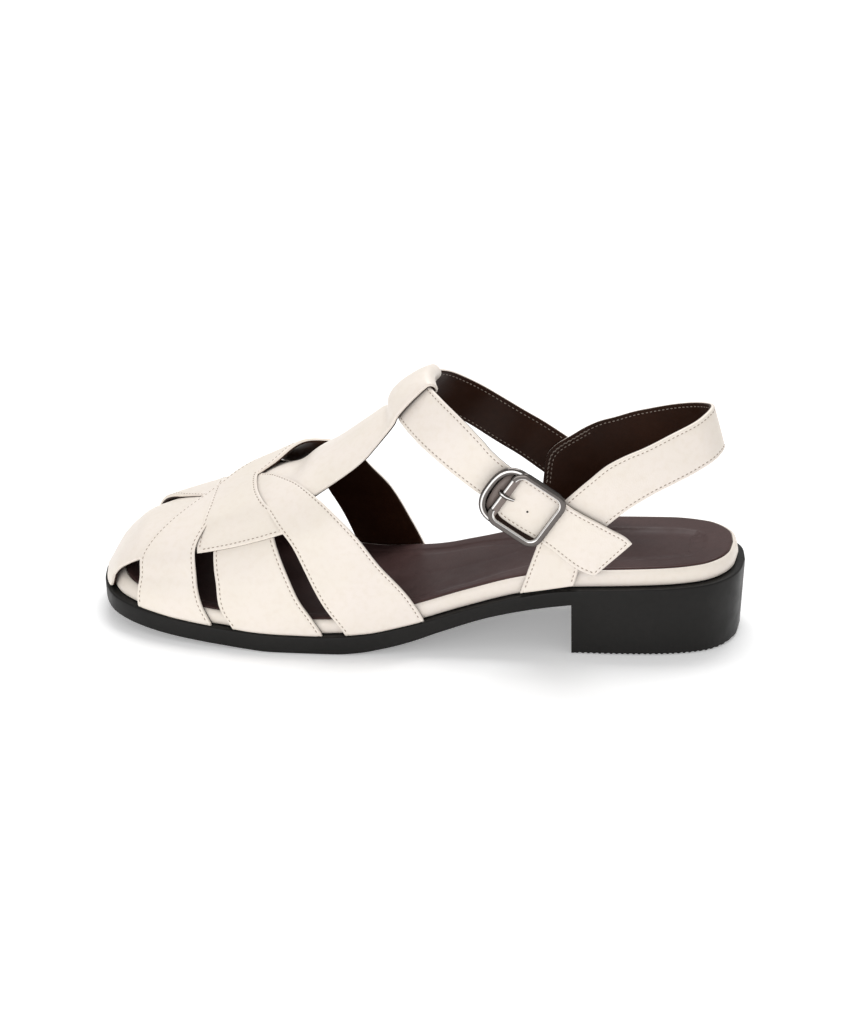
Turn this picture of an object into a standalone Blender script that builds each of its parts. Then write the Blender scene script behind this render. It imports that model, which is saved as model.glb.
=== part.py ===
"""A left fisherman sandal: crossed vamp bands over a T-bar, heel strap, ankle strap, buckle.

Design space is millimetres from the heel back: x to the toe, y to the outer (lateral) side,
z up from the floor.  place() moves it to the centre of the footprint, in metres.
"""
import math

import bmesh
import bpy
import numpy as np

# Driving sizes, millimetres
LENGTH = 254.0          # outsole, heel back to toe tip
WIDTH = 86.0            # outsole across the ball
HEIGHT = 104.0          # floor to the top of the T-bar loop
HEEL = 29.4             # floor to the top of the rubber at the heel back
ANKLE = 29.0            # half the width of the ankle opening, outer faces
LEATHER = 1.8           # one strap, with its lining
LAYER = 0.7             # how far each crossing layer stands above the one below
GAP = 0.3               # air between pieces that touch
BREAST = 0.2584         # share of LENGTH where the heel block ends
RAND = 6.8              # cushion above the rubber at the heel
WIRE = 1.35             # radius of the buckle wire
BAR = 1.35              # radius of the buckle bar
STATIONS = 40           # stations along the sole

# Outline of the sole, from the heel: share of LENGTH, share of WIDTH
OUTER_LINE = [
    (0, -0.0465), (0.004, 0.06), (0.016, 0.15), (0.055, 0.2605), (0.12, 0.318), (0.2, 0.34),
    (0.3, 0.3488), (0.38, 0.362), (0.45, 0.3837), (0.53, 0.4256), (0.61, 0.4628), (0.71, 0.4698),
    (0.8, 0.4372), (0.86, 0.4012), (0.91, 0.3512), (0.95, 0.2849), (0.975, 0.2116), (0.99, 0.1163),
    (0.997, 0.0267), (1, -0.0698)]
INNER_LINE = [
    (0, -0.0465), (0.004, -0.147), (0.016, -0.222), (0.055, -0.3186), (0.12, -0.3593),
    (0.2, -0.3605), (0.3, -0.3395), (0.38, -0.3058), (0.45, -0.3233), (0.56, -0.4302),
    (0.66, -0.5198), (0.75, -0.5384), (0.85, -0.4907), (0.93, -0.386), (0.968, -0.2977),
    (0.988, -0.207), (0.997, -0.1419), (1, -0.0698)]
# Top edge of the rubber, and its underside in front of the heel: share of LENGTH, of HEEL
TOP_EDGE = [
    (0, 0.9996), (0.1, 0.9753), (0.2, 0.9458), (0.27, 0.9152), (0.34, 0.8087), (0.42, 0.6116),
    (0.5, 0.4038), (0.58, 0.2794), (0.66, 0.2478), (0.74, 0.2583), (0.82, 0.29), (0.9, 0.348),
    (1, 0.4323)]
UNDERSIDE = [
    (0.2584, 0.7086), (0.3, 0.6559), (0.38, 0.5082), (0.46, 0.2826), (0.5, 0.1634), (0.54, 0.0759),
    (0.58, 0.0211), (0.62, 0), (0.715, 0), (0.76, 0.0169), (0.82, 0.0464), (0.9, 0.0928),
    (0.96, 0.1476), (1, 0.1951)]
# Ridge line of the foot under the vamp: share of LENGTH, of HEIGHT, of WIDTH
RIDGE = [
    (0.4665, 1.0336, -0.0116), (0.5295, 0.9038, -0.0151), (0.5532, 0.851, -0.0186),
    (0.5847, 0.7865, -0.0233), (0.624, 0.7096, -0.0291), (0.6634, 0.6394, -0.0349),
    (0.7028, 0.5865, -0.0407), (0.7421, 0.5336, -0.0465), (0.7815, 0.4836, -0.0512),
    (0.8209, 0.4404, -0.0558), (0.8642, 0.399, -0.0605), (0.9035, 0.3635, -0.0651),
    (0.9395, 0.325, -0.0674), (0.9677, 0.2616, -0.0686), (0.9823, 0.2039, -0.0698),
    (0.9902, 0.1655, -0.0698), (0.9969, 0.1366, -0.0698)]
# Vamp bands.  A turn is 1 at the outer edge of the sole, 0 on the ridge, -1 at the inner edge.
# Front-outer to rear-inner band: front share, front turn, rear share, rear turn
BAND_A = [
    (0.9295, 1, 0.8091, 1), (0.9311, 0.908, 0.8256, 0.873), (0.9276, 0.719, 0.8347, 0.695),
    (0.9248, 0.541, 0.8367, 0.502), (0.9146, 0.406, 0.8217, 0.322), (0.8882, 0.215, 0.7992, 0.17),
    (0.8591, 0.076, 0.7736, 0.06), (0.8331, -0.02, 0.7528, -0.01), (0.7854, -0.16, 0.7252, -0.08),
    (0.7358, -0.297, 0.6984, -0.176), (0.7087, -0.469, 0.6724, -0.281),
    (0.6781, -0.596, 0.6357, -0.42), (0.6581, -0.735, 0.5995, -0.613),
    (0.64, -0.84, 0.5667, -0.73), (0.6231, -0.933, 0.5309, -0.88), (0.6101, -1, 0.4978, -1)]
# Rear-outer to front-inner band, same columns
BAND_B = [
    (0.6012, 1, 0.4819, 1), (0.6335, 0.896, 0.5039, 0.93), (0.665, 0.724, 0.5484, 0.803),
    (0.6847, 0.596, 0.5827, 0.67), (0.7091, 0.469, 0.6142, 0.543), (0.7358, 0.297, 0.6504, 0.385),
    (0.7697, 0.15, 0.6791, 0.255), (0.8051, 0.05, 0.7047, 0.15), (0.8366, -0.01, 0.7284, 0.045),
    (0.8642, -0.09, 0.7579, -0.05), (0.8917, -0.215, 0.7933, -0.17),
    (0.9173, -0.406, 0.8217, -0.322), (0.9272, -0.541, 0.8339, -0.502),
    (0.9311, -0.719, 0.8319, -0.695), (0.9331, -0.908, 0.8228, -0.873), (0.9331, -1, 0.8063, -1)]
# Middle band, one each side: front share, rear share, turn
MIDDLE = [
    (0.776, 0.6358, 1), (0.791, 0.6541, 0.93), (0.7984, 0.6715, 0.86), (0.8024, 0.69, 0.74),
    (0.8075, 0.7044, 0.627), (0.8102, 0.7156, 0.51), (0.8102, 0.7195, 0.42)]
# Saddle over the crossing, outer half: front share, rear share, turn
SADDLE = [
    (0.8345, 0.6986, 0.52), (0.8362, 0.7006, 0.475), (0.8355, 0.7101, 0.4), (0.8286, 0.7321, 0.29),
    (0.8232, 0.7472, 0.14), (0.8221, 0.7524, 0)]
# Toe band running back into the T-bar: share of TOE, outer turn, inner turn
SPINE = [
    (0.9999, 1, 1), (0.9976, 1, 1), (0.9937, 1, 1), (0.9881, 1, 1), (0.9834, 0.94, 0.97),
    (0.9795, 0.69, 0.76), (0.9668, 0.58, 0.64), (0.944, 0.545, 0.58), (0.9277, 0.53, 0.55),
    (0.8945, 0.49, 0.5), (0.8629, 0.46, 0.47), (0.8313, 0.46, 0.46), (0.8117, 0.46, 0.46),
    (0.784, 0.46, 0.46), (0.7524, 0.46, 0.46), (0.7188, 0.46, 0.46), (0.6892, 0.415, 0.43),
    (0.6489, 0.352, 0.385), (0.6094, 0.335, 0.35), (0.5849, 0.32, 0.31), (0.5577, 0.262, 0.245),
    (0.5423, 0.225, 0.2)]
# Straps round the ankle, outer faces.  Top edge then bottom edge, each as shares of
# LENGTH, ANKLE, HEIGHT.  Heel strap, outer half, from the sole to the heel back:
HEEL_STRAP = [
    (0.3374, 1.028, 0.2448, 0.2559, 1.01, 0.2818), (0.328, 1.026, 0.3183, 0.2508, 1.007, 0.3269),
    (0.3138, 1.003, 0.425, 0.2453, 0.997, 0.3942), (0.2953, 1, 0.5481, 0.2284, 0.979, 0.4683),
    (0.265, 0.997, 0.6346, 0.2028, 0.931, 0.5298), (0.2311, 0.952, 0.7106, 0.1752, 0.862, 0.5817),
    (0.2091, 0.897, 0.7548, 0.1535, 0.793, 0.6135), (0.1791, 0.807, 0.7894, 0.1299, 0.71, 0.6423),
    (0.1563, 0.731, 0.8086, 0.1083, 0.628, 0.6644), (0.1146, 0.559, 0.851, 0.0748, 0.472, 0.6971),
    (0.0732, 0.31, 0.8894, 0.0461, 0.255, 0.7298), (0.0547, 0, 0.9115, 0.0358, 0, 0.7442)]
# The inner half stands in near the sole, row by row from the sole: front edge, rear edge
INNER_FOOT = [(0.95, 1), (0.955, 1), (0.97, 1), (0.99, 1.01)]
INNER_LIFT = (0.006, 0.014, 0.02, 0.012)  # and its top edge stands up by these shares of HEIGHT
# Ankle strap from the buckle over the instep to its sewn inner end:
ANKLE_STRAP = [
    (0.3236, 0.99, 0.6818, 0.3606, 0.99, 0.5638), (0.3476, 1.003, 0.7317, 0.3847, 1.003, 0.6135),
    (0.363, 1.016, 0.7635, 0.4016, 1.02, 0.6394), (0.3823, 1.021, 0.8067, 0.4173, 1.021, 0.6683),
    (0.3992, 0.962, 0.8471, 0.435, 0.997, 0.699), (0.4358, 0.769, 0.9163, 0.4724, 0.903, 0.7635),
    (0.4693, 0.514, 0.9644, 0.5122, 0.641, 0.824), (0.4854, 0.297, 0.9817, 0.5327, 0.331, 0.85),
    (0.4913, 0, 0.9894, 0.539, 0, 0.8596), (0.4854, -0.297, 0.9788, 0.5327, -0.331, 0.8471),
    (0.4685, -0.517, 0.9548, 0.5106, -0.655, 0.8144),
    (0.4358, -0.776, 0.8952, 0.4724, -0.907, 0.7471),
    (0.3992, -0.945, 0.826, 0.4358, -0.993, 0.6875),
    (0.3579, -1.017, 0.7558, 0.3937, -1.021, 0.6202),
    (0.3185, -1.069, 0.6933, 0.3559, -1.069, 0.5577),
    (0.2811, -1.079, 0.6317, 0.3209, -1.079, 0.4952),
    (0.2539, -1.079, 0.5846, 0.2933, -1.079, 0.449)]
# Buckle strap from its cut tail to the rounded tip under the bar:
BUCKLE_STRAP = [
    (0.1685, 0.965, 0.449, 0.2216, 1.065, 0.3319), (0.1772, 0.985, 0.4731, 0.2302, 1.072, 0.3385),
    (0.2028, 1.03, 0.5144, 0.2445, 1.079, 0.3519), (0.2625, 1.075, 0.5984, 0.307, 1.075, 0.4604),
    (0.2818, 1.079, 0.6318, 0.3234, 1.079, 0.4869), (0.3013, 1.079, 0.6645, 0.3415, 1.079, 0.5161),
    (0.321, 1.079, 0.6963, 0.3585, 1.079, 0.5437), (0.3332, 1.079, 0.7103, 0.368, 1.079, 0.5682),
    (0.3437, 1.079, 0.71, 0.3722, 1.079, 0.5945), (0.3545, 1.079, 0.6928, 0.3705, 1.079, 0.6287)]
# Buckle: centre as shares of LENGTH, ANKLE, HEIGHT, its lean, and its sizes
BUCKLE_AT = (0.3275, 1.137, 0.5981)
BUCKLE_LEAN = math.radians(33.5)
BUCKLE_ACROSS = 22.9    # wire centre to wire centre, across the strap
BUCKLE_ALONG = 21.5     # along the strap
BUCKLE_BOW = 6.2        # how far the half-oval loop reaches past the bar
DIP = 2.4               # how far the T-bar lies below the arch of the band on its inner side
PUFF = 3.2              # how far the T-bar loop swells in front of the ankle strap

PART = bpy.data.collections.new("fisherman_sandal")
TOOLS = bpy.data.collections.new("cutters")


def smooth(keys, values, t):
    """Monotone cubic through (key, value) pairs."""
    x, y = np.asarray(keys, float), np.asarray(values, float)
    h = np.diff(x)
    d = np.diff(y) / h
    m = np.zeros(len(x))
    m[0], m[-1] = d[0], d[-1]
    for i in range(1, len(x) - 1):
        if d[i - 1] * d[i] > 0:
            a, b = 2 * h[i] + h[i - 1], h[i] + 2 * h[i - 1]
            m[i] = (a + b) / (a / d[i - 1] + b / d[i])
    t = np.clip(np.asarray(t, float), x[0], x[-1])
    i = np.clip(np.searchsorted(x, t, side="right") - 1, 0, len(h) - 1)
    u = (t - x[i]) / h[i]
    return ((2 * u**3 - 3 * u**2 + 1) * y[i] + (u**3 - 2 * u**2 + u) * h[i] * m[i]
            + (3 * u**2 - 2 * u**3) * y[i + 1] + (u**3 - u**2) * h[i] * m[i + 1])


def bend(rows, steps, weight=None):
    """Smooth curve through table rows, cut into equal steps along its length."""
    rows = np.asarray(rows, float)
    scaled = rows * (np.ones(rows.shape[1]) if weight is None else np.asarray(weight, float))
    keys = np.concatenate([[0], np.cumsum(np.linalg.norm(np.diff(scaled, axis=0), axis=1))])
    fine = np.linspace(0, keys[-1], steps * 12 + 1)
    line = np.stack([smooth(keys, rows[:, c], fine) for c in range(rows.shape[1])], 1)
    scaled = np.stack([smooth(keys, scaled[:, c], fine) for c in range(rows.shape[1])], 1)
    run = np.concatenate([[0], np.cumsum(np.linalg.norm(np.diff(scaled, axis=0), axis=1))])
    at = np.linspace(0, run[-1], steps + 1)
    return np.stack([np.interp(at, run, line[:, c]) for c in range(rows.shape[1])], 1)


def ease(a, b, t):
    """0 below a, 1 above b, smooth between."""
    u = np.clip((np.asarray(t, float) - a) / (b - a), 0, 1)
    return u * u * (3 - 2 * u)


def place(points):
    """Millimetre design space to metres on the centre of the footprint."""
    shift = np.array([LENGTH / 2, (OUTER_MOST - INNER_MOST) / 2, 0])
    return (np.asarray(points, float) - shift) * 0.001


def material(name, rgb, rough, metal=0.0):
    m = bpy.data.materials.new(name)
    m.use_nodes = True
    b = m.node_tree.nodes["Principled BSDF"]
    b.inputs["Base Color"].default_value = (*rgb, 1)
    b.inputs["Roughness"].default_value = rough
    b.inputs["Metallic"].default_value = metal
    m.diffuse_color = (*rgb, 1)
    return m


def solid(name, points, faces, mat, tool=False):
    """Mesh object from points in design space; faces face outward."""
    mesh = bpy.data.meshes.new(name)
    mesh.from_pydata([tuple(p) for p in place(points)], [], [list(f) for f in faces])
    bm = bmesh.new()
    bm.from_mesh(mesh)
    bmesh.ops.remove_doubles(bm, verts=bm.verts, dist=1e-6)
    bmesh.ops.dissolve_degenerate(bm, edges=bm.edges, dist=1e-7)
    bmesh.ops.recalc_face_normals(bm, faces=bm.faces)
    bm.to_mesh(mesh)
    bm.free()
    mesh.materials.append(mat)
    obj = bpy.data.objects.new(name, mesh)
    (TOOLS if tool else PART).objects.link(obj)
    if tool:
        obj.hide_render = True
        obj.display_type = "WIRE"
    return obj


def join(base, *others):
    """Fuse other solids into base with exact Booleans."""
    for other in others:
        mod = base.modifiers.new("join " + other.name, "BOOLEAN")
        mod.operation = "UNION"
        mod.solver = "EXACT"
        mod.object = other


def shell(name, outer, inner, mat, tool=False):
    """Closed sheet from two grids of points, rows by columns."""
    rows, cols = outer.shape[:2]
    pts = np.concatenate([outer.reshape(-1, 3), inner.reshape(-1, 3)])
    n = rows * cols
    at = lambda r, c, side: side * n + r * cols + c
    faces = []
    for side in (0, 1):
        for r in range(rows - 1):
            for c in range(cols - 1):
                faces.append((at(r, c, side), at(r + 1, c, side), at(r + 1, c + 1, side),
                              at(r, c + 1, side)))
    for r in range(rows - 1):
        for c in (0, cols - 1):
            faces.append((at(r, c, 0), at(r + 1, c, 0), at(r + 1, c, 1), at(r, c, 1)))
    for c in range(cols - 1):
        for r in (0, rows - 1):
            faces.append((at(r, c, 0), at(r, c + 1, 0), at(r, c + 1, 1), at(r, c, 1)))
    return solid(name, pts, faces, mat, tool)


# The sole outline

def side_lines():
    scale = (LENGTH, WIDTH)
    return [bend(np.array(t) * scale, 90) for t in (OUTER_LINE, INNER_LINE)]


OUTER_PLAN, INNER_PLAN = side_lines()
OUTER_MOST, INNER_MOST = OUTER_PLAN[:, 1].max(), -INNER_PLAN[:, 1].min()


def stations():
    s = 0.5 * (1 - np.cos(np.pi * np.arange(STATIONS + 1) / STATIONS))
    s = s[np.abs(s - BREAST) > 0.008]
    return np.sort(np.concatenate([s, [BREAST - 0.0006, BREAST + 0.0006]]))


SHARE = stations()


def base_ring():
    """Heel tip, outer side to the toe tip, inner side back: plan points and their shares."""
    x = SHARE * LENGTH
    outer = np.stack([x, np.interp(x, OUTER_PLAN[:, 0], OUTER_PLAN[:, 1])], 1)
    inner = np.stack([x, np.interp(x, INNER_PLAN[:, 0], INNER_PLAN[:, 1])], 1)
    return np.concatenate([outer, inner[-2:0:-1]]), np.concatenate([SHARE, SHARE[-2:0:-1]])


def inset_ring(amount):
    ring, _ = base_ring()
    tangent = np.roll(ring, -1, 0) - np.roll(ring, 1, 0)
    tangent /= np.linalg.norm(tangent, axis=1, keepdims=True)
    inward = np.stack([tangent[:, 1], -tangent[:, 0]], 1)
    return ring + inward * np.reshape(amount, (-1, 1))


def top_edge(s):
    t = np.array(TOP_EDGE)
    return smooth(t[:, 0], t[:, 1] * HEEL, s)


def underside(s):
    t = np.array(UNDERSIDE)
    front = smooth(t[:, 0], t[:, 1] * HEEL, s)
    heel = 0.6 * (1 - ease(0, 0.035, s))
    return np.where(np.asarray(s) < BREAST, heel, front)


def ring_solid(name, rings, mat):
    """Loft closed plan rings; the first and the last are closed by rungs across the shoe."""
    n = len(rings[0])
    half = n // 2
    pts = np.concatenate(rings)
    faces = []
    for k in range(len(rings) - 1):
        for j in range(n):
            i = (j + 1) % n
            faces.append((k * n + j, k * n + i, (k + 1) * n + i, (k + 1) * n + j))
    for k in (0, len(rings) - 1):
        o = k * n
        faces.append((o, o + 1, o + n - 1))
        faces.append((o + half - 1, o + half, o + half + 1))
        for j in range(1, half - 1):
            faces.append((o + j, o + j + 1, o + n - j - 1, o + n - j))
    return solid(name, pts, faces, mat)


def level_ring(amount, height):
    plan = inset_ring(amount)
    return np.column_stack([plan, height])


def make_sole(rubber, wrap, sock):
    _, s = base_ring()
    top, low = top_edge(s), underside(s)
    heel = s < BREAST
    outsole = ring_solid("outsole", [
        level_ring(np.where(heel, 1.9, 1.0), low),
        level_ring(np.where(heel, 1.3, 0.3), low + 0.8),
        level_ring(np.zeros(len(s)), top - 0.8),
        level_ring(np.full(len(s), 0.6), top)], rubber)
    rise = RAND * (1 - 0.16 * ease(0.48, 0.62, s))    # the cushion is lower under the toes
    toe = 3.2 * ease(0.88, 0.995, s)                  # and the vamp leans back over it there
    # Inset, share of the cushion's height
    profile = [(3.6, 0.045), (3.15, 0.19), (2.95, 0.46), (3.35, 0.79), (4.1, 0.98), (4.7, 1.0),
               (4.9, 0.87), (7.0, 0.83), (14.0, 0.68)]
    ring_solid("footbed", [level_ring(i + toe * h, top + rise * h) for i, h in profile], wrap)
    profile = [(14.0, 0.73), (7.0, 0.88), (5.25, 0.92), (5.25, 1.03), (5.7, 1.09), (8.0, 1.13),
               (9.2, 1.11), (14.0, 0.98)]
    ring_solid("insole", [level_ring(i + toe, top + rise * h) for i, h in profile], sock)
    return outsole


# The foot surface the vamp lies on

STRAP_INSET = 0.8
TOE = LENGTH - STRAP_INSET
TOE_ROUND = 28.0


def edge_lines():
    """The two sole edges moved in to where the straps stand."""
    loop = np.concatenate([OUTER_PLAN, INNER_PLAN[-2:0:-1]])
    tangent = np.roll(loop, -1, 0) - np.roll(loop, 1, 0)
    tangent /= np.linalg.norm(tangent, axis=1, keepdims=True)
    loop = loop + np.stack([tangent[:, 1], -tangent[:, 0]], 1) * STRAP_INSET
    n = len(OUTER_PLAN)
    outer, inner = loop[:n], np.concatenate([loop[n - 1:], loop[:1]])[::-1]
    return outer, inner


OUTER_EDGE, INNER_EDGE = edge_lines()


def section(x):
    s = x / LENGTH
    r = np.array(RIDGE)
    base = top_edge(s) + GAP
    ridge_z = np.maximum(smooth(r[:, 0], r[:, 1] * HEIGHT, s), base + 0.01)
    ridge_y = smooth(r[:, 0], r[:, 2] * WIDTH, s)
    outer = np.interp(x, OUTER_EDGE[:, 0], OUTER_EDGE[:, 1])
    inner = np.interp(x, INNER_EDGE[:, 0], INNER_EDGE[:, 1])
    return base, ridge_y, ridge_z, outer - ridge_y, ridge_y - inner


def foot(x, turn):
    """Point on the foot surface at a distance from the heel and a turn from the ridge."""
    base, ridge_y, ridge_z, outer, inner = section(x)
    a = np.abs(turn) * math.pi / 2
    across = np.sin(a) ** 0.93 * np.where(turn > 0, outer, -inner)
    return np.stack([x, ridge_y + across, base + (ridge_z - base) * np.cos(a) ** 0.93], -1)


def foot_normal(x, turn):
    reach = np.sqrt((TOE - x) ** 2 + 2 * TOE_ROUND * (TOE - x))
    reach = np.maximum(reach, 2.0)
    back = lambda q: TOE - (np.sqrt(q * q + TOE_ROUND**2) - TOE_ROUND)
    v = np.clip(turn, -0.985, 0.985)
    along = foot(back(reach + 0.5), v) - foot(back(reach - 0.5), v)
    around = foot(back(reach), v + 0.012) - foot(back(reach), v - 0.012)
    n = np.cross(around, along)
    n /= np.linalg.norm(n, axis=-1, keepdims=True)
    outward = n[..., 2] + n[..., 1] * np.sign(turn)
    return n * np.where(outward < 0, -1.0, 1.0)[..., None]


def cover(name, x, turn, lift, mat, tool=True, thick=LEATHER):
    """Strap on the foot surface: grids of distance and turn, and how far it stands off."""
    p, n = foot(x, turn), foot_normal(x, turn)
    lift = np.broadcast_to(lift, x.shape)[..., None]
    thick = np.broadcast_to(thick, x.shape)[..., None]
    outer, inner = p + n * lift, p + n * (lift - thick)
    floor = top_edge(np.clip(outer[..., 0] / LENGTH, 0, 1)) + GAP
    outer[..., 2] = np.maximum(outer[..., 2], floor)
    inner[..., 2] = np.where(np.abs(turn) > 0.999, outer[..., 2], np.maximum(inner[..., 2], floor))
    return shell(name, outer, inner, mat, tool)


def crossing_band(name, table, steps, level, arch_at, arch_width, arch, mat):
    """Band from one side of the sole to the other, raised where it crosses the spine."""
    rows = bend(table, steps, (2.5, 1, 2.5, 1))
    w = np.linspace(0, 1, 5)
    x = (rows[:, :1] * (1 - w) + rows[:, 2:3] * w) * LENGTH
    turn = rows[:, 1:2] * (1 - w) + rows[:, 3:4] * w
    up = LAYER * level * (1 - ease(0.5, 0.72, np.abs(turn)))
    bow = arch * np.exp(-((turn - arch_at) / arch_width) ** 2)
    return cover(name, x, turn, up + bow, mat)


def make_vamp(leather):
    rows = np.concatenate([np.array(SPINE[:6]), bend(SPINE[6:], 22, (2.5, 0.5, 0.5))])
    w = np.linspace(-1, 1, 11)
    turn = np.where(w > 0, rows[:, 1:2] * w, rows[:, 2:3] * w)
    x = np.repeat(rows[:, :1] * TOE, len(w), 1)
    share = x / LENGTH
    up = LAYER * ease(0.955, 0.925, share) * ease(0.63, 0.68, share)
    up = up - DIP * np.exp(-((share - 0.697) / 0.024) ** 2) * ease(0.3, 0.0, turn)
    p, n = foot(x, turn), foot_normal(x, turn)
    tip = np.array([0.93, 0.0, 0.37])
    n[0] = tip
    end = ease(0.566, 0.552, share)
    outer = p + n * (up - 0.5 * end)[..., None]
    inner = p + n * (up - LEATHER + 0.25 * end)[..., None]
    floor = top_edge(np.clip(outer[..., 0] / LENGTH, 0, 1)) + GAP
    foot_edge = np.abs(turn) > 0.999
    outer[..., 2] = np.maximum(outer[..., 2], floor)
    inner[..., 2] = np.where(foot_edge, outer[..., 2], np.maximum(inner[..., 2], floor))
    spine = shell("upper", outer, inner, leather)

    parts = []
    for side, label in ((1, "outer"), (-1, "inner")):
        r = bend(MIDDLE, 9, (2.5, 2.5, 1))
        w = np.linspace(0, 1, 5)
        x = (r[:, :1] * (1 - w) + r[:, 1:2] * w) * LENGTH
        parts.append(cover("middle band " + label, x, side * np.repeat(r[:, 2:3], 5, 1), 0.0,
                           leather))
    parts.append(crossing_band("band to the rear outside", BAND_B, 26, 2, -0.34, 0.2, 2.2, leather))
    parts.append(crossing_band("band to the front outside", BAND_A, 26, 3, -0.23, 0.15, 3.4,
                               leather))
    half = np.array(SADDLE)
    other = half[-2::-1] * (1, 1, -1)
    r = bend(np.concatenate([half, other]), 14, (2.5, 2.5, 1))
    w = np.linspace(0, 1, 5)
    x = (r[:, :1] * (1 - w) + r[:, 1:2] * w) * LENGTH
    turn = np.repeat(r[:, 2:3], 5, 1)
    down = ease(0.26, 0.40, np.abs(turn))
    parts.append(cover("saddle", x, turn, LAYER * (4 - 2.7 * down), leather,
                       thick=LEATHER + LAYER * 2.45 * (1 - ease(0.31, 0.45, np.abs(turn)))))
    parts.append(make_loop(leather))
    join(spine, *parts)
    return spine


# Straps round the ankle

def strap_rows(table, steps):
    rows = np.array(table) * (LENGTH, ANKLE, HEIGHT, LENGTH, ANKLE, HEIGHT)
    return bend(rows, steps)


def strap_frames(rows, cols):
    """Grid of outer-face points and outward normals of a ribbon given by its two edges."""
    w = np.linspace(0, 1, cols)[None, :, None]
    grid = rows[:, None, :3] * (1 - w) + rows[:, None, 3:] * w
    along = np.gradient(grid, axis=0)
    across = rows[:, None, 3:] - rows[:, None, :3]
    n = np.cross(along, np.broadcast_to(across, grid.shape))
    n /= np.linalg.norm(n, axis=-1, keepdims=True)
    away = grid - np.array([80.0, 0.0, 55.0])
    n *= np.where((n * away).sum(-1) < 0, -1.0, 1.0)[..., None]
    return grid, n


def ankle_strap_rows():
    return strap_rows(ANKLE_STRAP, 44)


def make_straps(leather):
    half = np.array(HEEL_STRAP)
    other = half[-2::-1] * (1, -1, 1, 1, -1, 1)
    for k, share in enumerate(INNER_FOOT):
        other[-1 - k, [1, 4]] *= share
    other[-7:-3, 2] += INNER_LIFT
    rows = strap_rows(np.concatenate([half, other]), 44)
    grid, n = strap_frames(rows, 4)
    outer, inner = grid, grid - n * LEATHER
    for r in (0, -1):
        foot_z = top_edge(outer[r, :, 0] / LENGTH) + GAP + 0.05
        outer[r, :, 2], inner[r, :, 2] = foot_z, foot_z
    shell("heel_strap", outer, inner, leather["heel_strap"])

    grid, n = strap_frames(ankle_strap_rows(), 4)
    shell("ankle_strap", grid, grid - n * LEATHER, leather["ankle_strap"])

    grid, n = strap_frames(strap_rows(BUCKLE_STRAP, 22), 4)
    shell("buckle_strap", grid, grid - n * (LEATHER - 0.25), leather["buckle_strap"])


def make_loop(leather):
    """The end of the T-bar folded round the ankle strap: a flat tube that follows it."""
    rows = ankle_strap_rows()
    mid = (rows[:, :3] + rows[:, 3:]) / 2
    keep = np.where(np.abs(mid[:, 1] - 0.4) < 12.5)[0]
    y = mid[keep, 1]
    want = np.linspace(11.0, -10.2, 8)
    order = np.argsort(y)
    at = np.stack([np.interp(want, y[order], rows[keep][order, c]) for c in range(6)], 1)
    along = np.gradient((at[:, :3] + at[:, 3:]) / 2, axis=0)
    across = at[:, :3] - at[:, 3:]
    width = np.linalg.norm(across, axis=1, keepdims=True)
    across = across / width
    out = np.cross(along, across)
    out /= np.linalg.norm(out, axis=1, keepdims=True)
    out *= np.where(out[:, :1] < 0, -1.0, 1.0)
    centre = (at[:, :3] + at[:, 3:]) / 2

    def ring(grow, c, puff):
        a, top, low = width / 2 + grow, grow, -LEATHER - grow
        spots = ((0.5 * a, top + 0.6 * puff), (a - c, top), (a, top - c), (a, low + c), (a - c, low),
                 (c - a, low), (-a, low + c), (-a, top - c + 0.5 * puff), (c - a, top + puff),
                 (-0.2 * a, top + puff))
        return np.stack([centre + across * u + out * v for u, v in spots], 1)

    inner, outer = ring(GAP + 0.05, 0.3, 0.0), ring(GAP + LEATHER, 1.5, PUFF)
    rows_n, k = outer.shape[:2]
    pts = np.concatenate([outer.reshape(-1, 3), inner.reshape(-1, 3)])
    n = rows_n * k
    faces = []
    for side in (0, 1):
        for r in range(rows_n - 1):
            for c in range(k):
                d = (c + 1) % k
                o = side * n
                faces.append((o + r * k + c, o + (r + 1) * k + c, o + (r + 1) * k + d, o + r * k + d))
    for r in (0, rows_n - 1):
        for c in range(k):
            d = (c + 1) % k
            faces.append((r * k + c, r * k + d, n + r * k + d, n + r * k + c))
    return solid("loop", pts, faces, leather, True)


# The buckle

def buckle_point(along, across, out=0.0):
    c = np.array(BUCKLE_AT) * (LENGTH, ANKLE, HEIGHT)
    u = np.array([math.cos(BUCKLE_LEAN), 0, math.sin(BUCKLE_LEAN)])
    w = np.array([-math.sin(BUCKLE_LEAN), 0, math.cos(BUCKLE_LEAN)])
    return c + u * along + w * across + np.array([0, 1.0, 0]) * out


def wire(name, points, radius, closed, mat, tool):
    """Round wire along a path, from a bevelled curve."""
    curve = bpy.data.curves.new(name, "CURVE")
    curve.dimensions = "3D"
    curve.bevel_depth = radius * 0.001
    curve.bevel_resolution = 2
    curve.use_fill_caps = True
    spline = curve.splines.new("POLY")
    pts = place(points)
    spline.points.add(len(pts) - 1)
    for p, q in zip(spline.points, pts):
        p.co = (*q, 1)
    spline.use_cyclic_u = closed
    holder = bpy.data.objects.new(name + " path", curve)
    mesh = bpy.data.meshes.new_from_object(holder)
    bpy.data.objects.remove(holder)
    bpy.data.curves.remove(curve)
    mesh.name = name
    bm = bmesh.new()
    bm.from_mesh(mesh)
    bmesh.ops.remove_doubles(bm, verts=bm.verts, dist=1e-6)
    bmesh.ops.recalc_face_normals(bm, faces=bm.faces)
    bm.to_mesh(mesh)
    bm.free()
    mesh.materials.clear()
    mesh.materials.append(mat)
    obj = bpy.data.objects.new(name, mesh)
    (TOOLS if tool else PART).objects.link(obj)
    if tool:
        obj.hide_render = True
        obj.display_type = "WIRE"
    return obj


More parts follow.
